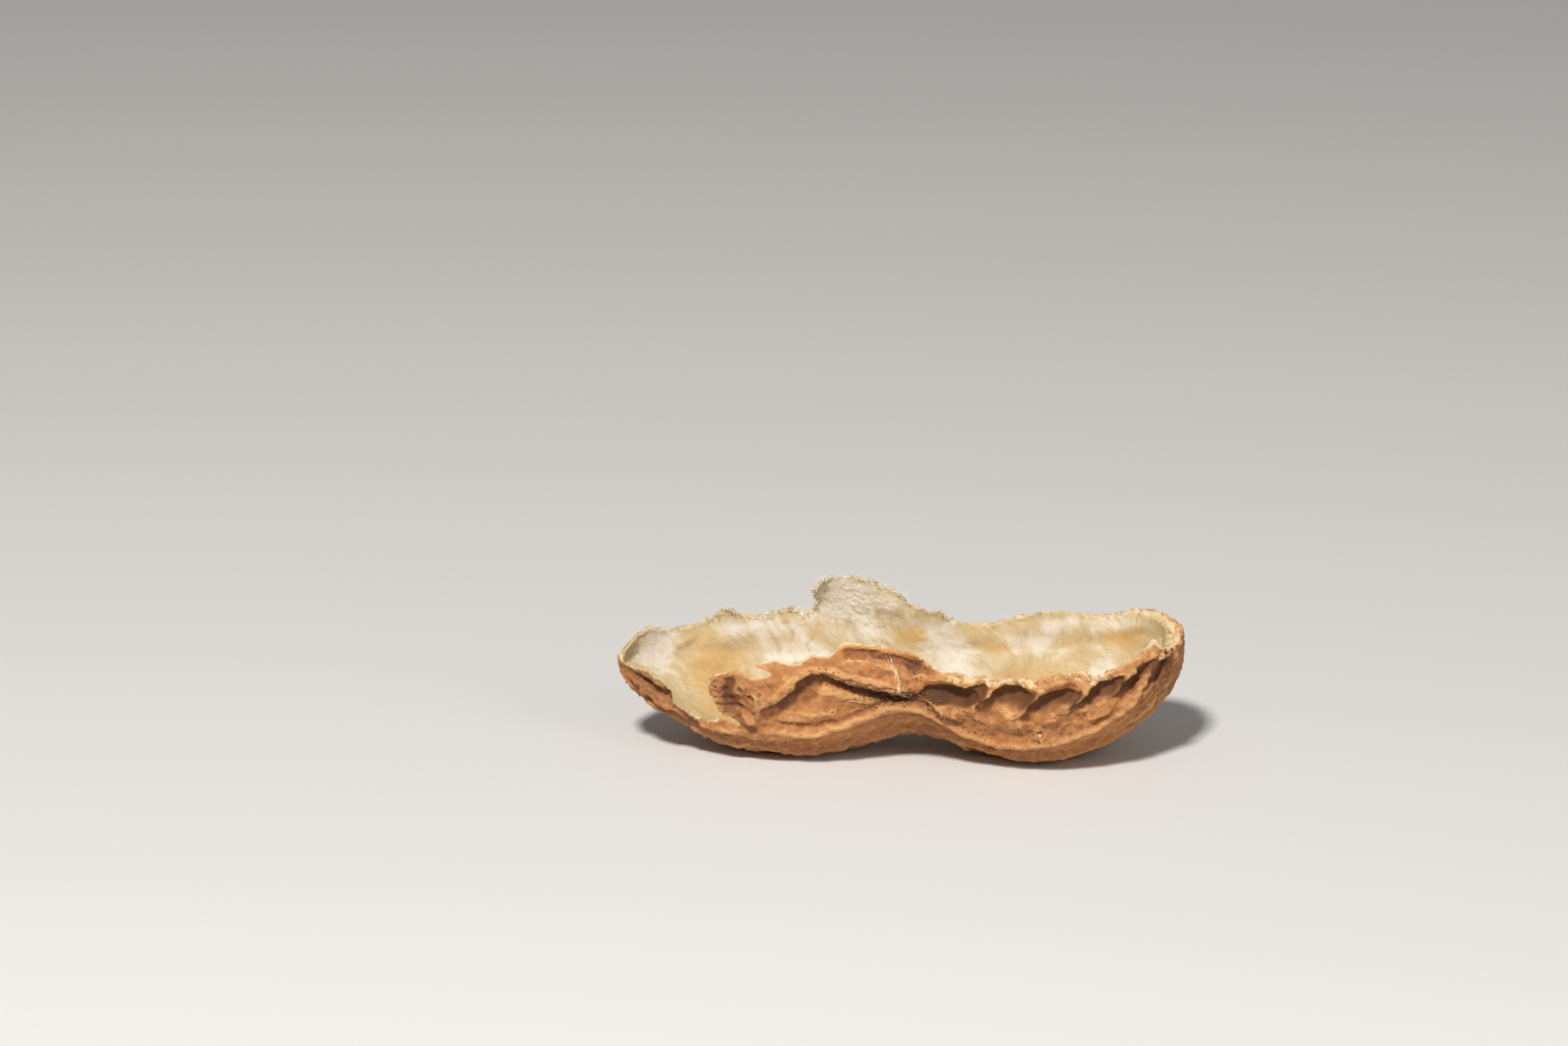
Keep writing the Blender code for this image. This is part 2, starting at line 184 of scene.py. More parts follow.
bands = patches_of(f for f in coarse.faces if along_the_slabs(f))
torn_faces = set().union(*(band for band in bands if len(band) > 12))
skins = patches_of(set(coarse.faces) - torn_faces)[-2:]
inner_skin, outer_skin = sorted(skins, key=lambda s: -min(v.co.z for f in s for v in f.verts))
print("faces outside", len(outer_skin), "inside", len(inner_skin), "torn", len(torn_faces))


def search_tree(faces):
    """A tree that finds the nearest point on these triangles."""
    corners = [vert.co.copy() for face in faces for vert in face.verts]
    return BVHTree.FromPolygons(corners, [(n, n + 1, n + 2) for n in range(0, len(corners), 3)])


outer_tree, inner_tree, torn_tree = (search_tree(s) for s in (outer_skin, inner_skin, torn_faces))
coarse.free()

# %% [markdown]
# A thin shell with relief on one side and a smooth lining on the other needs small, even faces. A voxel
# remesh gives them: it rebuilds the closed surface from cubes about a ninth of a millimetre wide. A few rounds
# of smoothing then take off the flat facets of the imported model, and leave the ribs.

# %% Remesh and smooth
def modify(obj, kind, **settings):
    """Add a modifier with these settings and apply it."""
    only(obj)
    added = obj.modifiers.new(kind, kind)
    for name, value in settings.items():
        setattr(added, name, value)
    bpy.ops.object.modifier_apply(modifier=kind)


VOXEL = 0.112 * MM
SMOOTHING_ROUNDS = 11
shell.data.remesh_voxel_size = VOXEL
shell.data.remesh_voxel_adaptivity = 0
only(shell)
bpy.ops.object.voxel_remesh()
modify(shell, "SMOOTH", factor=0.5, iterations=SMOOTHING_ROUNDS)
print("remeshed to", len(shell.data.vertices), "points,", 2 * len(shell.data.polygons), "triangles")


def read(items, what):
    """A vector of every item, as rows of three numbers."""
    values = np.empty(3 * len(items))
    items.foreach_get(what, values)
    return values.reshape(-1, 3)


def read_points(obj):
    return read(obj.data.vertices, "co")


def read_normals(obj):
    return read(obj.data.vertex_normals, "vector")


def write_points(obj, co):
    obj.data.vertices.foreach_set("co", co.ravel())
    obj.data.update()


# %% [markdown]
# Every later step asks the same three things of a point: how deep it lies in the wall, how near the torn edge,
# and where on the pod. The first two come from the nearest points on the skins. The third is a distance from
# the left tip and an angle round the pod from straight down, negative in front, with the middle of the pod
# given at a few stations. A fold or vein of the real shell is easy to place in those two numbers.

# %% Measure every point of the shell
POD_STATIONS = (  # from the left tip, height of the middle, how far back the middle lies, in mm
    (0.9, 6.9, 0.8), (3.8, 6.8, 0.9), (8.0, 6.6, 0.9), (12.5, 6.3, 0.85), (17.0, 6.4, 0.6), (22.6, 6.9, 0.3),
    (27.0, 7.0, 0.0), (31.5, 6.9, -0.25), (36.0, 7.5, -0.2), (39.5, 8.4, -0.1), (41.3, 8.9, 0.0))
GIRTH_RADIUS = 6.4  # turns an angle into millimetres round the pod


def girth(angle):
    """An angle in degrees as millimetres round the pod."""
    return np.radians(angle) * GIRTH_RADIUS


def angle_of(girth):
    """Millimetres round the pod as an angle in degrees."""
    return np.degrees(girth / GIRTH_RADIUS)


def near(tree, points):
    """Distance in mm to the nearest face, its normal and the nearest place on it, for every point."""
    found = [tree.find_nearest(p) for p in points]
    places, ways, _, distances = zip(*found)
    ways, places = (np.array([vector[:] for vector in vectors]) for vectors in (ways, places))
    return np.array(distances) / MM, ways, places


def place_on_pod(points):
    """Distance from the left tip and distance round the pod from straight down, in mm."""
    xs, middles, backs = np.array(POD_STATIONS).T
    along = points[:, 0] / MM + 21
    up = points[:, 2] / MM - np.interp(along, xs, middles)
    back = points[:, 1] / MM - np.interp(along, xs, backs)
    return along, np.arctan2(back, -up) * GIRTH_RADIUS


points = read_points(shell)
rows = [Vector(p) for p in points]
to_outer, _, on_outer = near(outer_tree, rows)
to_inner, _, on_inner = near(inner_tree, rows)
to_torn, torn_way, _ = near(torn_tree, rows)
through = to_outer / (to_outer + to_inner)
across_wall = on_inner - on_outer
along, round_pod = place_on_pod(points)
degrees = angle_of(round_pod)
print("wall depth, middle value", round(float(np.median(through)), 2))


def tell(what, values):
    """Print the range of some values."""
    print(what, "from", round(float(values.min()), 2), "to", round(float(values.max()), 2))


def ease(value, low, high):
    """0 below low, 1 above high, and a smooth rise between."""
    t = np.clip((value - low) / (high - low), 0, 1)
    return t * t * (3 - 2 * t)


on_husk = 1 - ease(through, 0.15, 0.45)
on_lining = ease(through, 0.55, 0.85)

# %% [markdown]
# The husk's raised net grew from veins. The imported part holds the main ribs, so here each of them gets a
# narrow crest, the hollows beside them get deep, and thinner veins are added. Each is one stroke: a line
# through a few places on the pod, with a height and a half width in millimetres. The line wobbles by a little
# noise, so that it looks grown and not drawn.

# %% Noise and smooth lines on the pod
def field(size, seed, stretch=(1, 1, 1), where=None):
    """Smooth noise from about -1 to 1, with features of a size in mm, at every point or at those chosen."""
    chosen = points if where is None else points[where]
    scaled = chosen / MM / size * np.array(stretch) + seed * 7.3
    return np.array([noise.noise(Vector(p)) for p in scaled]) * 1.6


def blend(t, ends, slopes, gap):
    """The smooth curve between two ends with given slopes."""
    rise = 3 * t**2 - 2 * t**3
    return (ends[0] * (1 - rise) + ends[1] * rise
            + gap * (slopes[0] * (t**3 - 2 * t**2 + t) + slopes[1] * (t**3 - t**2)))


def smooth_line(places):
    """Closely spaced places along a smooth line through (distance, degrees)."""
    at, around = np.array(places, float).T
    around = girth(around)
    run = np.concatenate([[0], np.cumsum(np.hypot(np.diff(at), np.diff(around)))])
    fine = np.linspace(0, run[-1], int(run[-1] / 0.12) + 2)
    i = np.clip(np.searchsorted(run, fine) - 1, 0, len(run) - 2)
    gap = run[i + 1] - run[i]
    t = (fine - run[i]) / gap
    slopes = np.gradient(at, run), np.gradient(around, run)
    return [blend(t, (v[i], v[i + 1]), (s[i], s[i + 1]), gap) for v, s in zip((at, around), slopes)]


print("a line through two places has", len(smooth_line(((10, -60), (20, -60)))[0]), "close places")


# %% Strokes and scoops along a line
def points_near(at, around, reach, wobble, size, seed):
    """Which points lie in the box round a line, and where on the pod, with a little noise on their places."""
    inside = ((along > at.min() - reach) & (along < at.max() + reach)
              & (round_pod > around.min() - reach) & (round_pod < around.max() + reach))
    return (inside, along[inside] + wobble * field(size, seed, where=inside),
            round_pod[inside] + wobble * field(size, seed + 5, where=inside))


def stroke(places, half_width, wobble=0.0, seed=0):
    """1 on a line and falling to 0 beside it, for every point of the shell."""
    at, around = smooth_line(places)
    inside, x, g = points_near(at, around, 3 * half_width + 2 * wobble, wobble, 1.3, seed)
    # A line of many places is compared with the points in bunches, to save memory
    apart = np.full(len(x), np.inf)
    for k in range(0, len(at), 40):
        bunch = np.hypot(x[:, None] - at[k:k + 40], g[:, None] - around[k:k + 40])
        apart = np.minimum(apart, bunch.min(axis=1))
    value = np.zeros(len(along))
    value[inside] = np.exp(-((apart / half_width) ** 2))
    return value


def scoop(places, reach, seed=0):
    """A hollow on the left of a line walked in the photograph: steep at the line and fading over its reach."""
    at, around = smooth_line(places)
    inside, x, g = points_near(at, around, 2.2 * reach, 0.26, 0.9, seed)
    nearest = np.hypot(x[:, None] - at, g[:, None] - around).argmin(axis=1)
    step_x, step_g = np.gradient(at)[nearest], np.gradient(around)[nearest]
    dx, dg = x - at[nearest], g - around[nearest]
    side = (step_g * dx - step_x * dg) / np.hypot(step_x, step_g)
    past_end = np.sqrt(np.maximum(dx**2 + dg**2 - side**2, 0))
    value = np.zeros(len(along))
    value[inside] = ease(side, -0.16, 0.22) * np.exp(-((np.maximum(side, 0) / reach) ** 1.5) - (past_end / 0.4) ** 2)
    return value


print("one stroke marks", int((stroke(((10, -60), (20, -60)), 0.3) > 0.5).sum()), "points")


# %% Blots, and the strongest of several
def blot(at, around, length, breadth, lean=0, steep=1):
    """1 in an oval patch, falling off outside it."""
    dx, dg = along - at, round_pod - girth(around)
    c, s = math.cos(math.radians(lean)), math.sin(math.radians(lean))
    return np.exp(-((((dx * c + dg * s) / length) ** 2 + ((dg * c - dx * s) / breadth) ** 2) ** steep))


def most(*values):
    """The largest of several values at every point."""
    return np.maximum.reduce(values)


def blots(*rows):
    """The strongest of several blots, each given with its strength first."""
    return most(*(row[0] * blot(*row[1:]) for row in rows))


def strokes(lines, half_width, wobble, seed):
    """The strongest of several strokes, each with its own wobble."""
    return most(*(stroke(places, half_width, wobble, seed + n) for n, places in enumerate(lines)))


print("one blot marks", int((blot(10, -60, 2, 1) > 0.5).sum()), "points")

# %% [markdown]
# These are the places of the husk's raised lines, each as distance from the left tip in millimetres and angle in
# degrees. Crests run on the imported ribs. Folds are the narrow raised lines of the waist and the right end, and
# thin veins link the ribs.

# %% Crests, folds and veins of the husk
MAIN_CRESTS = (
    ((10.8, -58), (12.6, -57), (14.9, -56), (16.2, -58), (17.6, -63), (19.1, -65), (20.2, -68), (21.2, -68),
     (22.6, -63), (24.1, -56), (25.5, -50), (27.0, -47), (28.4, -46), (29.8, -49), (31.2, -52), (33.0, -55),
     (34.4, -57), (35.9, -60), (37.6, -64), (39.2, -71)),
    ((14.1, -105), (15.6, -102.5), (17.0, -98), (18.3, -93.5), (19.8, -88), (21.0, -82), (22.3, -78),
     (23.4, -71), (24.4, -61)),
)
BRANCH = ((14.1, -104), (13.9, -99), (12.9, -93), (12.2, -86), (11.2, -80), (10.9, -73), (10.3, -65))
SIDE_CRESTS = (
    ((34.6, -93), (34.2, -88), (33.7, -83), (33.0, -79)),
    ((37.8, -92), (37.2, -87), (36.4, -81), (35.6, -76)),
    ((31.2, -93), (31.0, -88), (30.4, -82), (29.4, -77), (28.8, -71)),
    ((27.3, -95), (27.3, -88), (26.5, -81), (26.0, -74)),
    ((39.6, -97), (39.1, -87), (38.4, -78), (37.4, -70), (36.5, -64)),
)
FOLDS = (
    ((15.9, -106), (17.2, -101), (18.4, -97.5), (19.6, -92.5), (20.6, -88)),
    ((12.8, -101), (11.6, -95), (10.2, -90), (8.8, -87)),
    ((17.3, -111), (18.3, -109), (19.4, -106.5), (20.3, -102)),
    ((40.2, -94), (39.9, -84), (39.3, -72), (38.6, -61), (37.2, -50)),
    ((40.8, -92), (40.8, -74), (40.3, -58), (39.2, -42)),
    ((41.3, -88), (41.2, -64), (40.6, -46), (39.6, -30)),
    ((38.6, -95), (38.0, -86), (37.2, -77), (36.2, -70), (35.2, -65)),
    ((0.8, -96), (1.4, -84), (2.3, -76), (3.3, -70), (4.4, -62), (5.6, -54)),
    ((1.0, -66), (2.2, -57), (3.6, -50), (5.2, -43)),
)
THIN_VEINS = (
    ((13.9, -92), (15.4, -88), (16.9, -83), (18.2, -77), (19.7, -72)),
    ((12.2, -76), (13.9, -72), (15.9, -69), (18.0, -69)),
    ((25.0, -90), (26.4, -86), (28.0, -83)),
    ((29.9, -80), (29.0, -74), (28.0, -67), (26.9, -59)),
    ((33.2, -80), (32.2, -74), (31.4, -66), (30.6, -58)),
    ((35.6, -76), (34.6, -70), (33.2, -64), (32.0, -59)),
    ((2.0, -80), (3.0, -70), (3.9, -63)),
    ((3.0, -50), (6.0, -40), (9.6, -38), (13.5, -42), (17.6, -48), (21.0, -50), (24.6, -40), (28.5, -32)),
    ((6.4, -24), (10.0, -22), (14.0, -27), (18.2, -34), (22.0, -36), (26.0, -27), (31.0, -22), (36.0, -28)),
)

crest = most(strokes(MAIN_CRESTS, 0.26, 0.16, 0), 0.30 * strokes(SIDE_CRESTS, 0.30, 0.40, 10),
             1.1 * stroke(BRANCH, 0.36, 0.5, 15))
fold = strokes(FOLDS, 0.16, 0.14, 20)
vein = strokes(THIN_VEINS, 0.15, 0.34, 30)
print("crests", len(MAIN_CRESTS) + len(SIDE_CRESTS) + 1, "folds", len(FOLDS), "veins", len(THIN_VEINS))

# %% [markdown]
# What lies low comes in three kinds. Scoops are the big hollows under the right rim, each steep under one rib
# and flat towards the next. Hollows are long shallow troughs, and crevices are cracks in which dirt gathers.
# Warts are the small round scars of rootlets: a ring with a pit.

# %% Scoops, hollows, crevices and warts
SCOOPS = (  # depth, reach, line along the steep side
    (0.46, 1.0, ((27.1, -90), (26.2, -89), (25.0, -84), (23.6, -82), (22.5, -82), (22.0, -78))),
    (0.48, 1.3, ((30.6, -89), (29.4, -91), (28.2, -89), (27.4, -82), (26.9, -76), (26.7, -70))),
    (0.48, 1.2, ((34.0, -88), (33.0, -90), (32.0, -89), (31.2, -86), (30.5, -79), (29.6, -72))),
    (0.46, 1.1, ((37.3, -90), (36.2, -90), (35.0, -87), (34.2, -80), (33.6, -75))),
    (0.36, 0.8, ((39.2, -93), (38.5, -90), (37.8, -84), (37.0, -78))),
    (0.36, 1.2, ((14.6, -100), (13.9, -96), (13.3, -91), (12.5, -84), (11.8, -79), (11.2, -74))),
)
HOLLOWS = (  # depth, half width, line
    (0.24, 0.30, ((14.9, -97), (16.2, -94), (17.4, -90), (18.6, -85), (19.9, -80), (21.4, -75))),
    (0.12, 0.24, ((17.3, -116.5), (18.4, -115.5), (19.6, -113.5), (20.8, -110), (21.8, -105.5))),
    (0.18, 0.24, ((10.9, -66), (13.0, -63), (15.0, -62), (17.0, -66), (19.0, -71))),
    (0.14, 0.40, ((10.8, -53), (12.8, -51), (15.0, -50), (17.6, -57), (20.2, -62), (22.4, -57), (25.0, -45),
                  (28.4, -39), (32.0, -46), (36.0, -54), (38.6, -61))),
    (0.26, 0.40, ((8.6, -92), (8.4, -84), (8.9, -76), (9.9, -70), (10.6, -66))),
    (0.32, 0.56, ((22.2, -78), (23.4, -74), (24.8, -75), (25.9, -80), (26.7, -86))),
    (0.30, 0.30, ((39.9, -90), (39.6, -78), (38.9, -66), (38.0, -56))),
)
CREVICES = (
    (0.26, 0.14, ((15.4, -97.5), (16.9, -93), (18.4, -87), (19.7, -81.5), (21.2, -76))),
    (0.17, 0.09, ((14.6, -103), (16.1, -100.5), (17.5, -96.5), (18.8, -92), (20.2, -86.5), (21.4, -81))),
    (0.20, 0.10, ((17.0, -118), (18.4, -117), (19.8, -115), (21.0, -110.5), (22.2, -104), (23.4, -98))),
    (0.36, 0.16, ((40.4, -94), (40.2, -82), (39.7, -68), (38.9, -56))),
    (0.36, 0.16, ((41.0, -92), (41.0, -74), (40.6, -57), (39.6, -42))),
    (0.16, 0.12, ((19.3, -73), (20.6, -74), (22.0, -72), (23.4, -67))),
    (0.12, 0.10, ((8.6, -77), (9.6, -73), (10.4, -71))),
    (0.07, 0.07, ((28.6, -55), (29.6, -56), (30.6, -59.5), (31.7, -60.5))),
    (0.20, 0.14, ((0.8, -86), (1.6, -76), (2.7, -67), (4.0, -59), (5.4, -50))),
    (0.16, 0.10, ((1.4, -94), (2.4, -84), (3.5, -76), (4.4, -71))),
)
WARTS = (  # distance, angle, size
    (9.4, -87, 0.42), (10.2, -82, 0.42), (10.8, -85, 0.34), (15.7, -93, 0.28), (16.2, -71, 0.26),
    (31.3, -59, 0.42), (26.6, -63, 0.22), (34.1, -73, 0.20), (12.6, -68, 0.22), (19.6, -113, 0.30))

hollow = most(*(depth * scoop(line, reach, 40 + n) for n, (depth, reach, line) in enumerate(SCOOPS)),
              *(depth * stroke(line, half, 0.16, 50 + n) for n, (depth, half, line) in enumerate(HOLLOWS)))
crevice = most(*(depth * stroke(line, half, 0.12, 70 + n) for n, (depth, half, line) in enumerate(CREVICES)))
wart = np.zeros(len(points))
for n, (at, around, size) in enumerate(WARTS):
    far = np.hypot(along - at, round_pod - girth(around)) / size
    if far.min() < 3:
        far = far + 0.25 * field(0.5, 90 + n)
    wart += (0.06 + 0.18 * size) * np.exp(-(((far - 0.80) / 0.34) ** 2)) - 0.08 * np.exp(-((far / 0.45) ** 2))
print("scoops", len(SCOOPS), "hollows", len(HOLLOWS), "crevices", len(CREVICES), "warts", len(WARTS))

# %% [markdown]
# Between the veins the husk is wrinkled. The wrinkles run along the pod, so their noise is stretched that
# way. The belly and the back wall, which no photograph shows, also carry a cell-like net, made from the
# distances to the two nearest of many scattered points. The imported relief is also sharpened: each point moves
# further out or in by how far it already stands from the average of its surroundings. The inside has no net.
# It has low swellings, fine threads that lean across the pod, and a few seams where the lining has shrunk.

# %% Find how far each point stands out
def smoothed(rounds):
    """Where the shell's points and normals would be after so many rounds of smoothing."""
    trial = bpy.data.objects.new("trial", shell.data.copy())
    bpy.context.scene.collection.objects.link(trial)
    modify(trial, "SMOOTH", factor=0.5, iterations=rounds)
    places, ways = read_points(trial), read_normals(trial)
    bpy.data.meshes.remove(trial.data)
    return places, ways


def standing_out(rounds):
    """How far points stand out of their surroundings, in mm."""
    places, ways = smoothed(rounds)
    return ((points - places) * ways).sum(axis=1) / MM


# %% Wrinkles and the cell-like net
def cell_walls(x, g):
    nearest, second = noise.voronoi(Vector((x / 2.1 + 0.25 * math.sin(g), g / 1.45, 0)))[0][:2]
    return math.exp(-(((second - nearest) / 0.11) ** 2))


def wrinkle(x, g):
    return noise.ridged_multi_fractal(Vector((x * 0.24, g * 0.85 + 0.2 * x, 3.1)), 0.9, 2.1, 4, 0.9, 1.6) - 1


wrinkles = np.array([wrinkle(x, g) for x, g in zip(along, round_pod)])
net = np.array([cell_walls(x, g) for x, g in zip(along, round_pod)])
on_front = ease(-degrees, 40, 52)
tell("wrinkles", wrinkles)

# %% [markdown]
# The husk isn't equally rough all over. The first hollow right of the waist is a deep slot. Grit fills the
# crevices, the two ends are lumpy and crumpled, and the belly of the right lobe and the lip are soft and smooth.

# %% Where the husk is gritty, lumpy or soft
# Besides its real depth, the slot is darkened in the dirt and shade marks below as painted shade.
slot = blot(24.6, -79, 2.2, 0.75, -5, 2) * (1 + 0.3 * field(0.7, 36))
gritty = most(0.6 - 0.6 * ease(along, 4, 7.5),
              blots((1, 20.3, -78, 2.3, 0.8, 24, 2), (1, 17.0, -92.5, 1.9, 0.35, 28), (0.8, 24.6, -62, 1.9, 0.45, 24),
                    (0.7, 19.9, -112, 1.0, 0.35), (0.9, 22.1, -101, 0.8, 0.9, 0, 2), (0.6, 9.6, -84, 1.2, 1.2)))
lumpy = most(1.0 - ease(along, 5, 8.5), 0.9 * blot(31.0, -73, 5.6, 2.3, 0, 2))
crumpled = most(1.4 - 1.4 * ease(along, 4, 10), blot(9.6, -80, 2.0, 3.0), ease(along, 37.5, 40)) * on_front
soft_belly = (ease(along, 24, 26.5) * (1 - ease(along, 36.5, 38.5)) * ease(degrees, -84, -74)
              * (1 - ease(degrees, -52, -44)) * (1 - stroke(MAIN_CRESTS[0], 0.9)))
softened = most(soft_belly, 0.65 * blot(19.2, -113, 2.6, 0.55, 14, 2), 0.7 * stroke(BRANCH, 0.8),
                0.6 * stroke(((20.4, -86), (21.6, -80), (22.6, -76), (23.6, -70)), 0.7))
print("gritty points", int((gritty > 0.5).sum()), "soft points", int((softened > 0.5).sum()))

# %% Add up the heights of the husk
husk_height = (np.clip(0.85 * standing_out(70), -0.22, 0.22) * (1 - softened) - 0.8 * standing_out(500) * softened
               + 0.13 * crest + (0.12 + 0.08 * ease(along, 37, 39)) * fold + 0.07 * vein
               - hollow - 0.20 * slot - crevice + wart
               + (0.07 + 0.16 * crumpled) * wrinkles + net * (0.12 - 0.11 * on_front)
               + 0.10 * soft_belly * field(1.7, 2) + (0.045 + 0.03 * crumpled) * field(0.6, 3)
               + (0.03 + 0.07 * gritty) * field(0.26, 4) + 0.12 * lumpy * field(0.75, 5))
tell("husk heights in mm", husk_height)

# %% Add up the heights of the lining
LINING_SEAMS = (((12.3, 106), (12.9, 98), (12.6, 90), (13.4, 82), (13.2, 70)), ((14.2, 96), (13.8, 88), (14.6, 80)),
                ((34.0, 78), (35.0, 70), (35.4, 62)), ((18.0, 122), (20.2, 108), (22.0, 92)))

lean = along + 0.45 * round_pod + 1.4 * field(5.0, 6)
across = round_pod + 1.2 * field(4.0, 7)
threads = np.array([noise.noise(Vector((u * 2.2, v * 0.26, 8.0))) for u, v in zip(lean, across)])
sponge = ease(degrees, 96, 112) * ease(along, 11, 14) * (1 - ease(along, 20, 22))
seam = strokes(LINING_SEAMS, 0.17, 0.8, 80) * ease(field(0.7, 35), -0.3, 0.5)
lining_height = (0.10 * field(3.4, 9) + 0.03 * threads + 0.022 * field(0.36, 12) + 0.04 * sponge * field(0.2, 19)
                 - 0.07 * seam)
tell("lining heights in mm", lining_height)

# %% [markdown]
# The heights are faded out near the floor, so the shell still stands on its two flat spots, and eased at the
# rim. No point may go so deep that less than a quarter of a millimetre of wall is left.

# %% Move the points
LEAST_WALL = 0.25  # mm
off_floor = ease(points[:, 2] / MM, 0.05, 0.8)
near_rim = ease(to_torn, 0.15, 0.8)
lift = husk_height * on_husk * off_floor * (0.45 + 0.55 * near_rim) + lining_height * on_lining
lift = np.maximum(lift, -np.maximum(np.where(on_husk > 0, to_inner, to_outer) - LEAST_WALL, 0))
points = points + (lift * MM)[:, None] * read_normals(shell)
write_points(shell, points)
tell("points moved out in mm", lift)

# %% [markdown]
# A torn edge is never straight. The wall thins towards it, the rim is pushed up and down by noise of two
# sizes, and its broken face is roughened, since the middle of the wall is spongy. How ragged it is changes
# along it: most at the tall piece in front and at the left of the back wall, least along the right lobe.

# %% Make the torn edge thin and ragged
at_edge = np.exp(-((to_torn / 0.5) ** 2))
blunt_tip = ease(along, 37.5, 40.5)
thinned = 0.62 * np.exp(-((to_torn / 0.75) ** 2)) * (1 - 0.8 * blunt_tip)
points = points - (thinned * (through - 0.5))[:, None] * across_wall
raggedness = most(0.45 + 0.40 * field(3.0, 14), 1.3 * blot(8.4, -82, 2.4, 3.0), 1.3 * blot(11.0, 112, 4.5, 3.0),
                  1.2 * blunt_tip)
bites = 0.17 * field(0.95, 15) + 0.11 * field(0.42, 16) + 0.05 * field(0.22, 17)
# The left edge of the tall front piece has saw teeth half a millimetre apart
teeth = 1 - 2 * np.abs((round_pod / 0.5 + 0.4 * field(1.4, 34)) % 1 - 0.35)
bites += 0.30 * blot(8.4, -80, 1.5, 2.6, 0, 2) * teeth
crumbly = 0.05 * field(0.3, 18) * (1 - ease(to_torn, 0.05, 0.3))
keep_low = ease(points[:, 2] / MM, 0.4, 1.2)
points = points + ((at_edge * bites * raggedness + crumbly) * keep_low * MM)[:, None] * torn_way
write_points(shell, points)
tell("rim moved in mm", at_edge * bites * raggedness)

# %% [markdown]
# Colour follows shape on a husk: dust and rot gather in hollows, and crests are rubbed pale. How far a point stands
# above the average of its surroundings says which it is. That, the depth in the wall and a few placed marks are
# stored on the points, where the material can read them. Some placed marks are painted shade: the shade mark, and
# parts of the dirt and brown marks, darken places where shade falls.

# %% The husk's marks
# Most spots are real dirt; the one at 24.9 mm is painted shade in the first hollow right of the waist.
DIRT_SPOTS = (  # strength, place, half sizes along and round in mm, and perhaps lean and steepness
    (1, 16.9, -93, 1.7, 0.22, 28), (1, 19.6, -82, 1.5, 0.35, 30), (1, 21.0, -73, 1.4, 0.5),
    (1, 19.7, -112, 0.7, 0.3), (1, 27.0, -62, 1.4, 0.14, 20), (1, 29.9, -57, 0.9, 0.12),
    (1, 23.6, -79, 1.3, 0.35, 10), (1, 24.9, -82, 1.3, 0.4, -6), (1, 9.3, -87, 0.25, 0.2),
    (1, 10.3, -82, 0.2, 0.25), (1, 9.2, -74, 0.8, 0.22, 40), (1, 8.3, -82, 0.25, 1.0), (1, 40.6, -86, 0.4, 1.4),
    (1, 18.6, -89, 2.2, 0.5, 28), (1, 21.6, -79, 1.1, 0.7), (1, 20.0, -74, 1.5, 0.45, 8),
    (1, 24.4, -62, 1.6, 0.35, 24), (1, 1.6, -80, 0.5, 1.2, 30))
SCARS = ((1, 2.7, -65, 1.8, 0.7, 25, 2), (0.8, 3.4, -78, 2.2, 0.35, 30), (0.7, 1.2, -80, 0.5, 1.6),
         (0.75, 5.4, -45, 1.6, 0.35, 25), (0.6, 4.8, -60, 2.2, 0.5, 30), (0.5, 9.4, -54, 1.4, 0.3))
# Most patches are the husk's own old brown; the two at the right end, at 38.4 and 40.4 mm, are painted shade in its
# folds.
BROWN_PATCHES = ((1.4, 3.6, -66, 4.4, 3.2, 20, 2), (0.65, 9.6, -84, 3.2, 3.0), (0.5, 20.0, -72, 3.6, 1.4),
                 (0.7, 40.4, -80, 1.2, 3.0), (0.5, 38.4, -66, 2.6, 2.2), (0.7, 26.6, -62, 2.0, 0.8, 20))

relief = np.clip(0.5 + 3.0 * standing_out(28) + 1.3 * standing_out(220), 0, 1)
# Real dirt in the crevices and the grit, and painted shade in the slot.
dirt = most(1.8 * crevice * on_front, 0.78 * blots(*DIRT_SPOTS), 0.72 * gritty * on_front, 0.70 * slot)
# Painted shade: this mark darkens the colour in the deep hollows under the rim, in the slot, in the folds of the
# right end and on the left edge of the front piece.
shade = np.clip(2.9 * hollow * on_front * (1 - 0.8 * ease(degrees, -80, -70)) + slot
                + 0.75 * blot(40.4, -76, 1.1, 3.2) + 0.6 * blot(8.5, -76, 0.7, 1.3), 0, 1)
# The darker belly is painted shade, standing for the shade under the pod.
brown = most(0.8 * ease(degrees, -48, -36) * (1 - ease(degrees, 20, 60)), blots(*BROWN_PATCHES))
tell("relief", relief)

# %% The lining's marks
STAINS = ((1, 7.6, 62, 3.0, 3.0), (0.8, 8.6, 10, 3.2, 4.0), (1.1, 21.8, 98, 2.0, 1.2, 20), (0.75, 23.5, 50, 3.0, 3.0),
          (0.95, 29, 30, 5.0, 4.2), (0.6, 37, 20, 3.0, 3.5), (0.8, 38, 85, 2.4, 1.6), (0.6, 28.5, 84, 3.0, 1.0),
          (0.5, 17.5, 132, 1.3, 0.9), (0.6, 6.5, 100, 1.6, 0.8))
# Some patches are the lining's own white; those on the flap at 16.6 mm, the left tip at 2.9 mm and the upper left of
# the far wall at 11.5 mm are painted light.
WHITE_PATCHES = ((1.2, 2.9, 84, 1.5, 4.0), (1, 13.3, 78, 2.8, 2.4), (0.8, 32.5, 97, 1.5, 0.8),
                 (0.8, 36.6, 97, 1.6, 0.8), (1.1, 16.6, 124, 3.4, 2.0), (0.8, 11.5, 103, 3.6, 1.0),
                 (0.9, 25.2, 74, 1.8, 4.0, 20), (0.9, 36.0, 55, 1.8, 2.2), (0.6, 18, 104, 3.0, 2.4),
                 (0.7, 31.0, 88, 2.0, 1.0))

white = blots(*WHITE_PATCHES) * (1 - 0.8 * seam)
print("white points", int((white > 0.5).sum()))

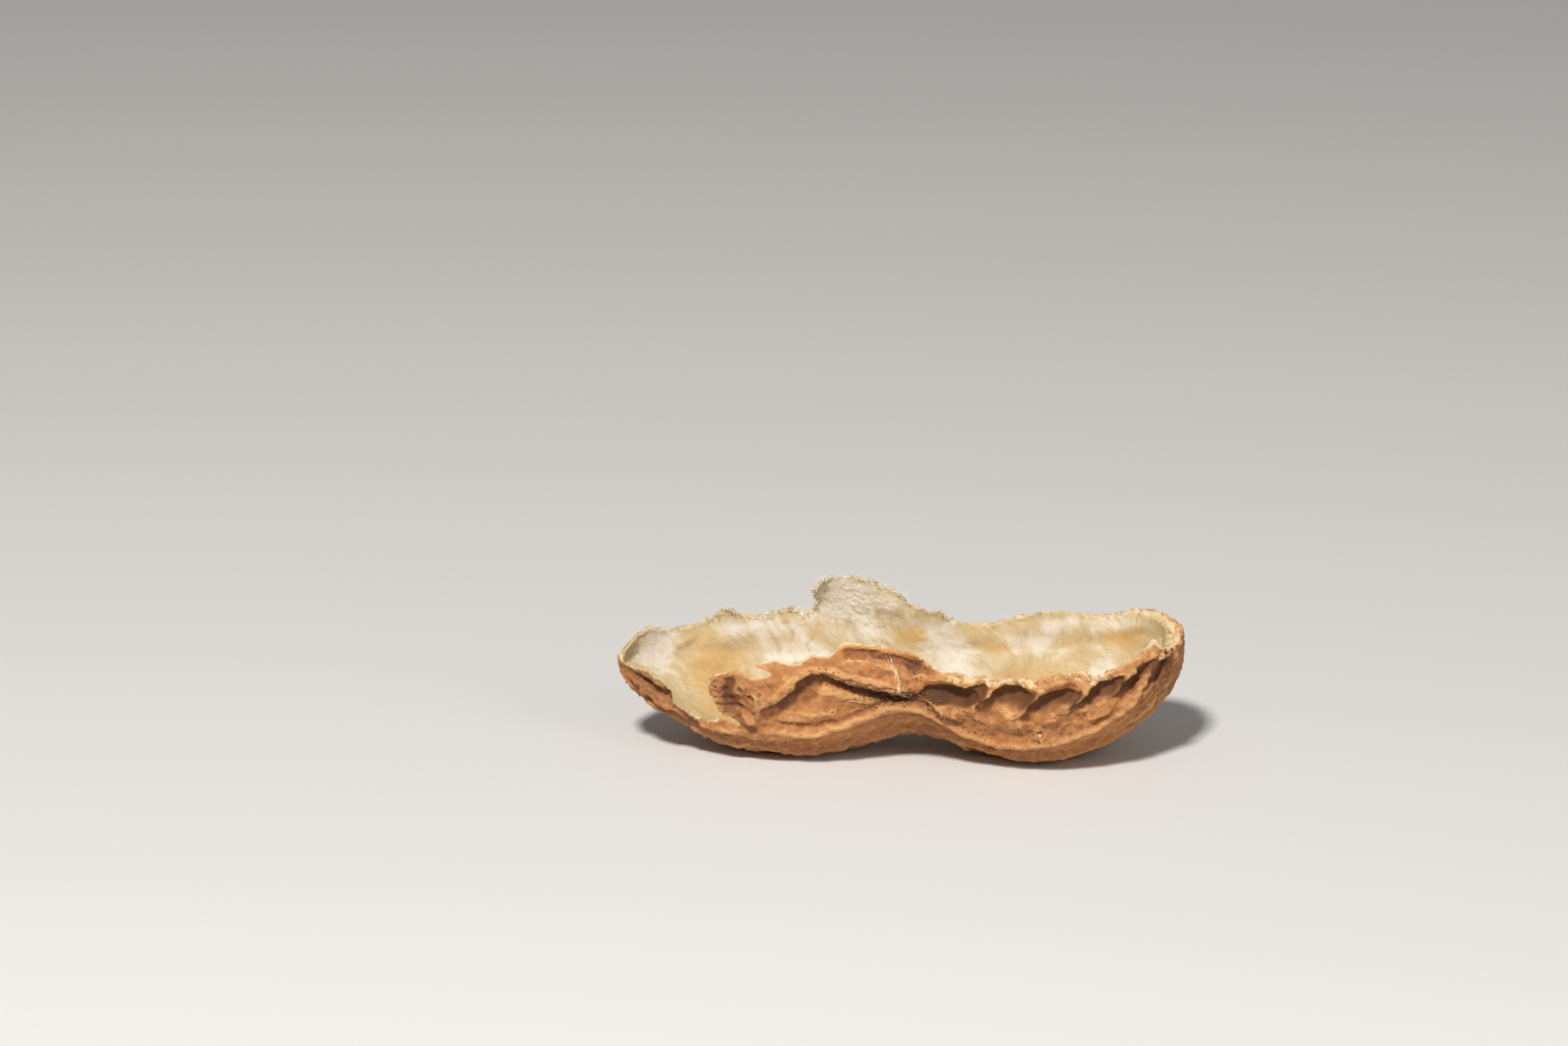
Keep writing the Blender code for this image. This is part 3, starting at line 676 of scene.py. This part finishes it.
# %% The depth in the wall, and all marks together
# Under the near rim of the right lobe the skin has peeled, so the pith shows there on the outside
peeled = ease(-to_torn, -0.75, -0.30) * on_husk * on_front * ease(field(0.9, 33), -0.5, 0.1)
peeled = peeled * np.maximum(ease(along, 22.5, 25) * (1 - ease(along, 30.5, 32)), blot(35.0, -90, 1.6, 2, 0, 2))
# The torn face at the left of the tall front piece shows the husk's colour, not the pale pith: partly its own brown,
# partly painted shade, as that face lies in shade.
browned = blot(8.4, -80, 1.5, 2.8, 0, 2) * at_edge * (1 - on_lining)
marks = {"through": through + 0.34 * peeled - 0.5 * browned, "relief": relief, "dirt": dirt, "scar": blots(*SCARS),
         "shade": shade, "brown": brown, "stain": blots(*STAINS), "white": white}
places = {"shell_place": points / MM, "lining_place": np.stack([lean, across, through], -1)}
print("marks", ", ".join(marks))

# %% [markdown]
# So fine a mesh is more than the smooth parts need. A decimate modifier merges its flattest faces and keeps
# the crests and edges sharp. Each point that is left takes its marks from the nearest point of the fine mesh.

# %% Thin out the mesh and store the marks on it
MOST_TRIANGLES = 192000


def finder(places):
    """A tree that finds the nearest of these (number, place) pairs."""
    tree = KDTree(len(places))
    for n, place in places:
        tree.insert(place, int(n))
    tree.balance()
    return tree


fine_points = finder(list(enumerate(points)))
modify(shell, "DECIMATE", ratio=min(1, MOST_TRIANGLES / (2 * len(shell.data.polygons))))
bpy.ops.object.shade_smooth()
points = read_points(shell)
nearest = np.array([fine_points.find(p)[1] for p in points])


def store(name, values, kind):
    attribute = shell.data.attributes.new(name, kind, "POINT")
    attribute.data.foreach_set("value" if kind == "FLOAT" else "vector", values[nearest].astype(np.float32).ravel())


for name, values in marks.items():
    store(name, np.clip(values, 0, 1), "FLOAT")
for name, values in places.items():
    store(name, values, "FLOAT_VECTOR")
print("shell has", len(points), "points and", sum(len(p.vertices) - 2 for p in shell.data.polygons), "triangles")

# %% [markdown]
# Three finishes meet on the one wall: the tan husk outside, the papery cream lining inside, and the pale,
# spongy middle that only the torn edge shows. They share two effects. The first is a grain, which is noise
# that can be stretched and given more contrast. The second is a scatter of specks. Each effect is a node group
# made once, so every finish can use it with its own values.
#
# Node trees are built with a few short helpers. A mask is a socket that adds, subtracts and multiplies as a
# number does, by putting Math nodes in its own tree, so a formula for a finish reads like one.

# %% Masks that add and multiply
class Mask:
    """A value or colour in a node tree."""

    def __init__(self, socket):
        self.socket, self.tree = socket, socket.id_data

    def __add__(self, other):
        return maths("ADD", self, other)

    def __sub__(self, other):
        return maths("SUBTRACT", self, other)

    def __mul__(self, other):
        return maths("MULTIPLY", self, other)


def add_node(kind, values):
    """A new node, in the tree that the masks among these values belong to."""
    tree = next(value.tree for value in values if isinstance(value, Mask))
    return tree.nodes.new("ShaderNode" + kind)


def feed(socket, value):
    """Link a mask into a socket, or set the socket's own value."""
    if isinstance(value, Mask):
        value.tree.links.new(value.socket, socket)
    else:
        socket.default_value = value


def maths(operation, first, second, clamp=False):
    node = add_node("Math", (first, second))
    node.operation, node.use_clamp = operation, clamp
    feed(node.inputs[0], first)
    feed(node.inputs[1], second)
    return Mask(node.outputs[0])


def between(value, low, high):
    """0 where value is low, 1 where it is high, smoothly."""
    node = add_node("MapRange", (value,))
    node.interpolation_type = "SMOOTHSTEP"
    for name, given in (("Value", value), ("From Min", low), ("From Max", high)):
        feed(node.inputs[name], given)
    return Mask(node.outputs["Result"])


print("helpers for masks are ready")

# %% Colours over colours
def tint(amount, under, over, kind="MIX"):
    """One colour laid over another by an amount from 0 to 1."""
    node = add_node("Mix", (amount, under, over))
    node.data_type, node.blend_type = "RGBA", kind
    for socket, value in ((node.inputs[0], amount), (node.inputs[6], under), (node.inputs[7], over)):
        feed(socket, (*value, 1) if isinstance(value, tuple) else value)
    return Mask(node.outputs[2])


def wash(colour, *layers):
    """Lay colours over a colour. A layer is a mask, perhaps where it starts and is full, a strength and a colour."""
    for mask, *limits, strength, over in layers:
        amount = between(mask, *limits) if limits else mask
        colour = tint(amount if strength == 1 else amount * strength, colour, over)
    return colour


def start_group(name, outputs, **inputs):
    """A node group with named sockets: returns it, its inputs as masks, and the sockets of its outputs."""
    tree = bpy.data.node_groups.new(name, "ShaderNodeTree")
    for socket, value in inputs.items():
        kind = "NodeSocketVector" if isinstance(value, tuple) else "NodeSocketFloat"
        tree.interface.new_socket(socket, in_out="INPUT", socket_type=kind).default_value = value
    for socket in outputs:
        kind = "NodeSocketColor" if socket == "Colour" else "NodeSocketFloat"
        tree.interface.new_socket(socket, in_out="OUTPUT", socket_type=kind)
    given = {socket.name: Mask(socket) for socket in tree.nodes.new("NodeGroupInput").outputs if socket.name}
    return tree, given, tree.nodes.new("NodeGroupOutput").inputs


def use_group(group, output=None, **values):
    """Put a group in the tree of its inputs, and return the named output, or all of them."""
    node = add_node("Group", values.values())
    node.node_tree = group
    for name, value in values.items():
        feed(node.inputs[name], value)
    return Mask(node.outputs[output]) if output else [Mask(made) for made in node.outputs]


print("helpers for colours and groups are ready")

# %% Node groups for grain and specks
grain_group, given, result = start_group("grain", ("Mask",), Place=(0, 0, 0), Stretch=(1, 1, 1), Size=1.0,
                                         Contrast=1.5, Seed=0.0)
stretched = grain_group.nodes.new("ShaderNodeVectorMath")
stretched.operation = "MULTIPLY"
feed(stretched.inputs[0], given["Place"])
feed(stretched.inputs[1], given["Stretch"])
clouds = grain_group.nodes.new("ShaderNodeTexNoise")
clouds.noise_dimensions = "4D"
for name, value in (("Detail", 4.0), ("Roughness", 0.6), ("Vector", Mask(stretched.outputs[0])),
                    ("W", given["Seed"]), ("Scale", maths("DIVIDE", 1.0, given["Size"]))):
    feed(clouds.inputs[name], value)
spread = (Mask(clouds.outputs["Fac"]) - 0.5) * given["Contrast"]
feed(result["Mask"], maths("ADD", spread, 0.5, clamp=True))

specks_group, given, result = start_group("specks", ("Mask",), Place=(0, 0, 0), Spacing=0.5, Speck=0.2, Share=0.3)
dots = specks_group.nodes.new("ShaderNodeTexVoronoi")
for name, value in (
        ("Randomness", 1.0), ("Vector", given["Place"]), ("Scale", maths("DIVIDE", 1.0, given["Spacing"]))):
    feed(dots.inputs[name], value)
chance = specks_group.nodes.new("ShaderNodeSeparateColor")
feed(chance.inputs[0], Mask(dots.outputs["Color"]))
chosen = maths("LESS_THAN", Mask(chance.outputs[0]), given["Share"])
size = given["Speck"] * (Mask(chance.outputs[1]) + 0.4)
feed(result["Mask"], chosen * between(Mask(dots.outputs["Distance"]), size, size * 0.4))


def grain(place, size, contrast, seed, stretch=(1, 1, 1)):
    return use_group(grain_group, "Mask", Place=place, Size=size, Contrast=contrast, Seed=seed, Stretch=stretch)


def specks(place, spacing, speck, share):
    return use_group(specks_group, "Mask", Place=place, Spacing=spacing, Speck=speck, Share=share)


print("groups", grain_group.name, specks_group.name)

# %% [markdown]
# The husk is dry, matt plant skin. Its tan is lightest on rubbed crests and falls to red-brown in hollows, with fine
# fibres running along the pod, old brown patches, and black-brown dirt packed in the crevices. Painted shade is laid
# on too: the deep hollows under the rim, the slot, the folds of the right end and the belly are darkened in the
# colour where shade falls on them. The group reads the marks stored on the points and puts out a colour, a roughness
# and a height.

# %% The husk's finish
LIGHT_TAN, TAN, RED_BROWN = (0.65, 0.345, 0.132), (0.475, 0.197, 0.060), (0.235, 0.076, 0.019)
OLD_BROWN, HOLLOW_BROWN = (0.31, 0.115, 0.038), (0.125, 0.042, 0.012)
DIRT_BROWN, SOIL = (0.085, 0.034, 0.012), (0.020, 0.010, 0.006)

FINISH = ("Colour", "Roughness", "Height")


def put_out(result, *finish):
    for socket, value in zip(FINISH, finish):
        feed(result[socket], value)


husk_group, given, result = start_group("husk_skin", FINISH, Place=(0, 0, 0), Relief=0.5, Brown=0.0, Dirt=0.0,
                                        Shade=0.0, Scar=0.0)
place = given["Place"]
patches, blotches = grain(place, 4.5, 2.6, 1.0), grain(place, 1.1, 2.4, 2.0)
streaks = grain(place, 0.22, 2.6, 3.0, stretch=(0.16, 1.0, 1.0))
fine, speckle = grain(place, 0.16, 2.2, 4.0), grain(place, 0.42, 2.8, 5.0)
pores = specks(place, 0.62, 0.16, 0.30)
height_tone = given["Relief"] + (blotches - 0.5) * 0.42
# Painted shade: the shade mark pulls the colour towards a near-black brown.
shaded = given["Shade"] - blotches * 0.22
scarred = maths("MULTIPLY", given["Scar"], blotches + 0.45, clamp=True)
# The dirt mark holds real dirt and painted shade alike.
soiled = given["Dirt"] * (fine * 0.9 + 0.35)
colour = wash(
    RED_BROWN, (height_tone, 0.05, 0.50, 1, TAN), (height_tone, 0.50, 0.95, 1, LIGHT_TAN),
    (patches, 0.45, 0.95, 0.45, OLD_BROWN), (given["Brown"], 0.68, OLD_BROWN),
    (streaks, 0.50, 0.95, 0.38, (0.28, 0.11, 0.04)), (fine, 0.50, 1.0, 0.34, (0.76, 0.52, 0.30)),
    (speckle, 0.56, 0.92, 0.50, (0.26, 0.085, 0.028)), (pores, 0.55, DIRT_BROWN),
    (shaded, 0.0, 0.72, 0.90, HOLLOW_BROWN), (scarred, 0.25, 0.75, 1, DIRT_BROWN),
    (soiled, 0.18, 0.75, 0.95, DIRT_BROWN), (soiled, 0.60, 0.95, 0.90, SOIL))
put_out(result, colour, fine * 0.24 + 0.58, streaks * 0.7 + fine * 0.6 - pores * 0.8)
print("husk group has", len(husk_group.nodes), "nodes")

# %% [markdown]
# The lining is a thin, silky paper, cream with yellow-ochre stains where the seeds sat and sweated oil. White threads
# lie across it in fans. On the flap, the left tip and the upper left of the far wall it is whitened further as
# painted light. The torn middle of the wall is a crumbly, pale tan sponge.

# %% The lining's finish
CREAM, PAPER_WHITE, OCHRE, DEEP_OCHRE = (
    (0.60, 0.455, 0.235), (0.80, 0.745, 0.63), (0.63, 0.385, 0.130), (0.55, 0.27, 0.07))

lining_group, given, result = start_group("lining_paper", FINISH, Place=(0, 0, 0), Relief=0.5, Stain=0.0, White=0.0)
place = given["Place"]
clouding, blotches = grain(place, 3.2, 2.6, 11.0), grain(place, 0.85, 2.2, 14.0)
threads = grain(place, 0.12, 2.6, 12.0, stretch=(1.0, 0.13, 1.0))
wide_threads = grain(place, 1.2, 2.4, 13.0, stretch=(1.0, 0.7, 1.0))
fuzz, flecks = grain(place, 0.13, 2.4, 15.0), specks(place, 1.1, 0.07, 0.30)
# Partly the lining's own white, partly painted light on the flap, the left tip and the upper left of the far wall.
whiteness = (given["White"] * 0.95 + (wide_threads - 0.45) * 0.75 + (threads - 0.5) * 0.12
             + (blotches - 0.5) * 0.28)
stained = given["Stain"] * (clouding + 0.55) - given["White"] * 0.75
deep = between(stained, 0.75, 1.25) * between(blotches, 0.35, 0.85)
colour = wash(
    CREAM, (whiteness, 0.0, 0.82, 1, PAPER_WHITE), (stained, 0.15, 0.95, 0.85, OCHRE),
    (clouding, 0.50, 0.95, 0.34, OCHRE), (deep, 0.55, DEEP_OCHRE), (blotches, 0.6, 1.0, 0.22, OCHRE),
    (threads, 0.48, 0.90, 0.20, PAPER_WHITE), (fuzz, 0.45, 0.0, 0.42, (0.50, 0.32, 0.14)),
    (given["Relief"], 0.42, 0.12, 0.6, (0.62, 0.42, 0.20)), (flecks, 0.60, (0.36, 0.17, 0.07)))
put_out(result, colour, threads * -0.22 + 0.66, threads * 0.5 + fuzz * 0.6)
print("lining group has", len(lining_group.nodes), "nodes")

# %% The torn edge's finish
pith_group, given, result = start_group("torn_pith", FINISH, Place=(0, 0, 0))
place = given["Place"]
crumb, tone, holes = grain(place, 0.22, 3.0, 21.0), grain(place, 1.4, 2.4, 22.0), specks(place, 0.24, 0.22, 0.55)
colour = wash((0.66, 0.40, 0.17), (tone, 1, (0.82, 0.64, 0.38)), (crumb, 0.3, 0.9, 0.5, (0.84, 0.72, 0.50)),
              (holes, 0.65, (0.42, 0.20, 0.075)))
put_out(result, colour, crumb * 0.15 + 0.80, crumb - holes)
print("finishes", husk_group.name, lining_group.name, pith_group.name)

# %% [markdown]
# The shell's one material lays the three finishes over each other by the depth in the wall. A little noise on
# that depth lets the layers fray into each other. Light sinks a short way into the wall, as it does into
# paper, and that is a plain setting of the shader.

# %% The wall's material
def read_mark(tree, name, output="Fac"):
    """A mark that is stored on the points."""
    node = tree.nodes.new("ShaderNodeAttribute")
    node.attribute_name = name
    return Mask(node.outputs[output])


def stack_layers(depth, layers):
    """Husk, pith and lining, mixed by depth: returns the colour, roughness and height."""
    to_pith, to_lining = between(depth, 0.10, 0.34), between(depth, 0.62, 0.86)
    (skin, pith, paper), *numbers = zip(*layers)
    mixed = [tint(to_lining, tint(to_pith, skin, pith), paper)]
    for skin, pith, paper in numbers:
        under = skin + (pith - skin) * to_pith
        mixed.append(under + (paper - under) * to_lining)
    return mixed


wall_material, wall_shader = new_material(
    "shell_wall", Subsurface_Weight=0.10, Subsurface_Radius=(1.0, 0.55, 0.25), Subsurface_Scale=0.3 * MM,
    Specular_IOR_Level=0.35)
tree = wall_material.node_tree
place, lean_place = (read_mark(tree, name, "Vector") for name in ("shell_place", "lining_place"))
mark = {name.title(): read_mark(tree, name) for name in marks}
husk, pith, lining = (
    use_group(group, Place=where, **{name: mark[name] for name in names}) for group, where, names in (
        (husk_group, place, ("Relief", "Brown", "Dirt", "Shade", "Scar")), (pith_group, place, ()),
        (lining_group, lean_place, ("Relief", "Stain", "White"))))
depth = mark["Through"] + (grain(place, 0.45, 2.5, 31.0) - 0.5) * 0.22
wall_colour, wall_roughness, wall_height = stack_layers(depth, (husk, pith, lining))
wall_bump = tree.nodes.new("ShaderNodeBump")
for socket, value in (
        (wall_bump.inputs["Strength"], 0.55), (wall_bump.inputs["Distance"], 0.06 * MM),
        (wall_bump.inputs["Height"], wall_height), (wall_shader.inputs["Base Color"], wall_colour),
        (wall_shader.inputs["Roughness"], wall_roughness),
        (wall_shader.inputs["Normal"], Mask(wall_bump.outputs["Normal"]))):
    feed(socket, value)
cover(shell, wall_material)
print("wall material has", len(tree.nodes), "nodes")

# %% [markdown]
# Small things stand on the shell: fibres along the tears, a cord across the waist, flakes on the rim and
# crumbs in the crevice. Each kind is modelled once at the origin from a plain ball. Copies of it, each with its
# own mesh, are laid on the shell and joined. To place them, a point of the shell is looked up by its distance
# and angle on the pod.

# %% Ways to model and lay small things
at_point, round_point, depth_point, torn_point = (v[nearest] for v in (along, round_pod, through, to_torn))
point_ways, point_torn_ways = read_normals(shell), torn_way[nearest]
degree_point = angle_of(round_point)
luck = random.Random(11)


def look_up(chosen):
    """A search tree over chosen points of the shell, by distance and angle."""
    return finder([(n, (at_point[n], round_point[n], 0)) for n in chosen])


husk_tree = look_up(np.flatnonzero(depth_point < 0.12))


def husk_spot(at, around):
    """The place on the husk at this distance and angle, and the way straight out of it."""
    n = husk_tree.find((at, girth(around), 0))[1]
    return Vector(points[n]), Vector(point_ways[n])


def shaped_ball(name, segments, rings, shape):
    """A ball whose points are moved by a function of their place from -1 to 1."""
    bpy.ops.mesh.primitive_uv_sphere_add(segments=segments, ring_count=rings, radius=1, location=(0, 0, 0))
    ball = bpy.context.object
    ball.name = ball.data.name = name
    bpy.ops.object.mode_set(mode="EDIT")
    grid = bmesh.from_edit_mesh(ball.data)
    for vert in grid.verts:
        vert.co = Vector(shape(*vert.co)) * MM
    bmesh.update_edit_mesh(ball.data)
    bpy.ops.mesh.select_all(action="SELECT")
    bpy.ops.mesh.normals_make_consistent(inside=False)
    bpy.ops.object.mode_set(mode="OBJECT")
    return ball


def join(pieces):
    """Join pieces into the first of them."""
    only(pieces[0])
    for piece in pieces:
        piece.select_set(True)
    bpy.ops.object.join()
    bpy.ops.object.shade_smooth()
    return pieces[0]


def lay(ball, places):
    """Turn a small model into copies at these matrices, joined under its name."""
    copies = []
    for matrix in places:
        copy = ball.copy()
        copy.data = ball.data.copy()
        copy.data.transform(matrix)
        bpy.context.scene.collection.objects.link(copy)
        copies.append(copy)
    name = ball.name
    bpy.data.meshes.remove(ball.data)
    joined = join(copies)
    joined.name = joined.data.name = name
    return joined


def standing(place, way, size):
    """The matrix that stands a model up along a way, turned at random."""
    turn = way.to_track_quat("Z", "X").to_matrix().to_4x4()
    spin = luck.uniform(0, math.tau)
    return Matrix.Translation(place) @ turn @ Matrix.Rotation(spin, 4, "Z") @ Matrix.Diagonal((*size, 1))


def jitter(amount):
    return Vector([luck.gauss(0, amount) for _ in range(3)])


print("points on the husk", int((depth_point < 0.12).sum()))

# %% [markdown]
# Where the wall tore, fibres of the lining stand up in tufts. They are thickest at the left of the back wall,
# fewer on the flap and the left tip, and rare along the right lobe. A fibre is a thin tapered spindle.

# %% Stand fibres on the torn edge
TUFTS, FIBRES_IN_A_TUFT = 160, 6
fibre = shaped_ball("torn_fibres", 4, 6, lambda x, y, z: (
    0.030 * x * (1 - 0.4 * z) + 0.05 * (z + 1) ** 2, 0.030 * y * (1 - 0.4 * z), 0.22 * z + 0.14))
on_edge = np.flatnonzero((torn_point < 0.10) & (depth_point > 0.45) & (points[:, 2] > 3 * MM))
edge_at, edge_degrees = at_point[on_edge], degree_point[on_edge]
on_flap_side = (edge_degrees > 90) & (edge_at > 13.5)
likely = np.select(
    [(edge_degrees > 60) & (edge_at > 6.6) & (edge_at < 15), on_flap_side & (edge_at < 19.5),
     on_flap_side & (edge_at < 25), edge_at < 4.5], [1.0, 0.55, 0.45, 0.22], 0.10)
edge_tree = finder([(n, points[n]) for n in on_edge])
places = []
for n in luck.choices([int(n) for n in on_edge], weights=likely, k=TUFTS):
    lean_of_tuft = Vector(point_torn_ways[n]) + Vector((0.45, -0.25, 0.2)) + jitter(0.25)
    tall = luck.uniform(0.45, 1.30) * (1.0 if likely[np.searchsorted(on_edge, n)] > 0.3 else 0.5)
    for _, m, _ in luck.sample(edge_tree.find_n(points[n], 34), FIBRES_IN_A_TUFT):
        length = tall * luck.uniform(0.6, 1.25)
        thick = luck.uniform(0.6, 1.2)
        places.append(standing(Vector(points[m]) - 0.04 * MM * lean_of_tuft, lean_of_tuft + jitter(0.28),
                               (thick * 1.9, thick * 0.9, length)))
fibres = lay(fibre, places)
print("fibres", len(places), "with", len(fibres.data.polygons), "faces")

# %% [markdown]
# A pale cord of fibres crosses the waist from the lip down to the belly. It is three flat strands, each a ball
# drawn out along a path over the husk. A fourth strand lies apart, to its left.

# %% Draw the cord over the waist
def strand(name, path, half_width):
    """A flat strand along (distance, degrees) places, thinning to its ends."""
    at, around = smooth_line(path)
    pick = np.linspace(0, len(at) - 1, 14).astype(int)
    spots = [husk_spot(at[k], angle_of(around[k])) for k in pick]
    outs = np.array([way[:] for _, way in spots])
    line = np.array([place[:] for place, _ in spots]) + 0.05 * MM * outs

    def shape(x, y, z):
        t = math.acos(max(-1, min(1, z))) / math.pi * (len(line) - 1)
        k = min(int(t), len(line) - 2)
        middle = Vector(line[k]).lerp(Vector(line[k + 1]), t - k)
        ahead, out = Vector(line[k + 1] - line[k]).normalized(), Vector(outs[k]).normalized()
        side = ahead.cross(out)
        uneven = 1 + 0.3 * noise.noise(Vector((t * 1.3, half_width * 90, 0)))
        return middle / MM + (side * x + out * y * 0.5) * half_width * (1 - 0.45 * t / len(line)) * uneven

    return shaped_ball(name, 8, 60, shape)


strands = [strand(*s) for s in (
    ("waist_cord", ((20.3, -114), (20.6, -104), (20.9, -94), (21.0, -84), (21.2, -75), (21.3, -68)), 0.19),
    ("strand", ((20.0, -113), (20.3, -106), (20.7, -99), (20.7, -91), (21.1, -84)), 0.10),
    ("strand", ((20.9, -92), (21.4, -84), (21.5, -77), (21.9, -70)), 0.06),
    ("strand", ((17.2, -80), (18.1, -77.5), (18.9, -73)), 0.075))]
cord = join(strands)
print("cord has", len(cord.data.polygons), "faces")

# %% [markdown]
# Papery flakes stick to the rim of the right lobe and to the broken right tip. Crumbs of soil and husk lie in
# the crevice under the lip and in the pits. Flakes and crumbs are dented balls, flat or round.

# %% Lay flakes and crumbs
def dented(flat):
    """A shape for a ball: flattened and dented."""
    return lambda x, y, z: (
        Vector((x, y, z * flat)) * (1 + 0.45 * noise.noise(Vector((1.4 * x, 1.4 * y, 3 * z + flat)))))


places = []
near_rim_points = look_up(np.flatnonzero((torn_point < 0.45) & (depth_point < 0.75) & (degree_point < 0)))
for low, high, number in ((24.5, 31.0, 26), (33.0, 37.2, 20), (38.8, 41.2, 16), (31, 33, 5)):
    for _ in range(number):
        n = near_rim_points.find((luck.uniform(low, high), girth(luck.uniform(-99, -86)), 0))[1]
        size = luck.uniform(0.09, 0.30) * (1.2 if low > 38 else 1)
        places.append(standing(points[n], Vector(point_ways[n]) + jitter(0.35),
                               (size, size * luck.uniform(0.35, 0.8), size * 0.5)))
places.append(standing(*husk_spot(31.3, -59), (0.26, 0.22, 0.5)))
flakes = lay(shaped_ball("rim_flakes", 8, 5, dented(0.4)), places)

CRUMB_HEAPS = (  # place, spread along and round in mm, number
    (18.4, -90.5, 1.5, 0.16, 90), (20.9, -79, 1.1, 0.5, 90), (19.8, -73, 1.2, 0.35, 40), (19.9, -113, 0.5, 0.12, 12),
    (22.1, -101, 0.5, 0.5, 26), (24.6, -62, 1.2, 0.2, 34), (9.8, -85, 0.7, 0.5, 16), (30.8, -58.5, 0.8, 0.12, 10),
    (40.5, -86, 0.1, 1.0, 14), (23.4, -79, 0.8, 0.2, 14))
places = []
for at, around, length, breadth, number in CRUMB_HEAPS:
    for _ in range(number):
        u, v = luck.gauss(0, length), luck.gauss(0, breadth)
        slant = 0.5 * u * (breadth < 0.3 < length)  # narrow heaps follow their crevice upwards
        place, way = husk_spot(at + u, around + angle_of(v + slant))
        size = luck.uniform(0.035, 0.115)
        places.append(standing(place + way * size * 0.3 * MM, way + jitter(0.4), (size, size * 0.8, size * 0.8)))
crumbs = lay(shaped_ball("crevice_crumbs", 5, 4, dented(0.9)), places)
print("flakes", len(flakes.data.polygons), "faces, crumbs", len(crumbs.data.polygons), "faces")

# %% [markdown]
# The small things take simple finishes. Each mixes a few colours by noise that is larger than one piece, so
# neighbours differ: fibres and cord are pale, flakes are tan to cream, and crumbs run from soil to husk.

# %% Finish the small things
def patchy_material(name, size, dark, middle, pale, roughness):
    made, shader = new_material(name, Roughness=roughness, Specular_IOR_Level=0.3)
    place = Mask(made.node_tree.nodes.new("ShaderNodeTexCoord").outputs["Object"])
    scale = (1 / MM, 1 / MM, 1 / MM)
    patch, fine = grain(place, size, 3.4, 41.0, scale), grain(place, size / 4, 2.0, 42.0, scale)
    colour = wash(dark, (patch, 0.1, 0.5, 1, middle), (patch, 0.5, 0.9, 1, pale))
    feed(shader.inputs["Base Color"], tint(0.18, colour, fine, "MULTIPLY"))
    return made


for piece, finish in (
        (fibres, patchy_material("pale_fibre", 0.9, (0.76, 0.59, 0.36), (0.88, 0.77, 0.56), (0.93, 0.86, 0.71), 0.7)),
        (cord, patchy_material("cord_fibre", 0.5, (0.46, 0.23, 0.09), (0.68, 0.42, 0.20), (0.78, 0.58, 0.34), 0.65)),
        (flakes, patchy_material("paper_flake", 0.4, (0.48, 0.23, 0.085), (0.62, 0.37, 0.16), (0.72, 0.52, 0.28),
                                 0.8)),
        (crumbs, patchy_material("soil_crumb", 0.16, (0.035, 0.016, 0.008), (0.22, 0.10, 0.040), (0.62, 0.38, 0.19),
                                 0.8))):
    cover(piece, finish)
    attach(piece, "root")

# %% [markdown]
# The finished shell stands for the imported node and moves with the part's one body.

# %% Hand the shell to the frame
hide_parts("half_shell")
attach(shell, "root")
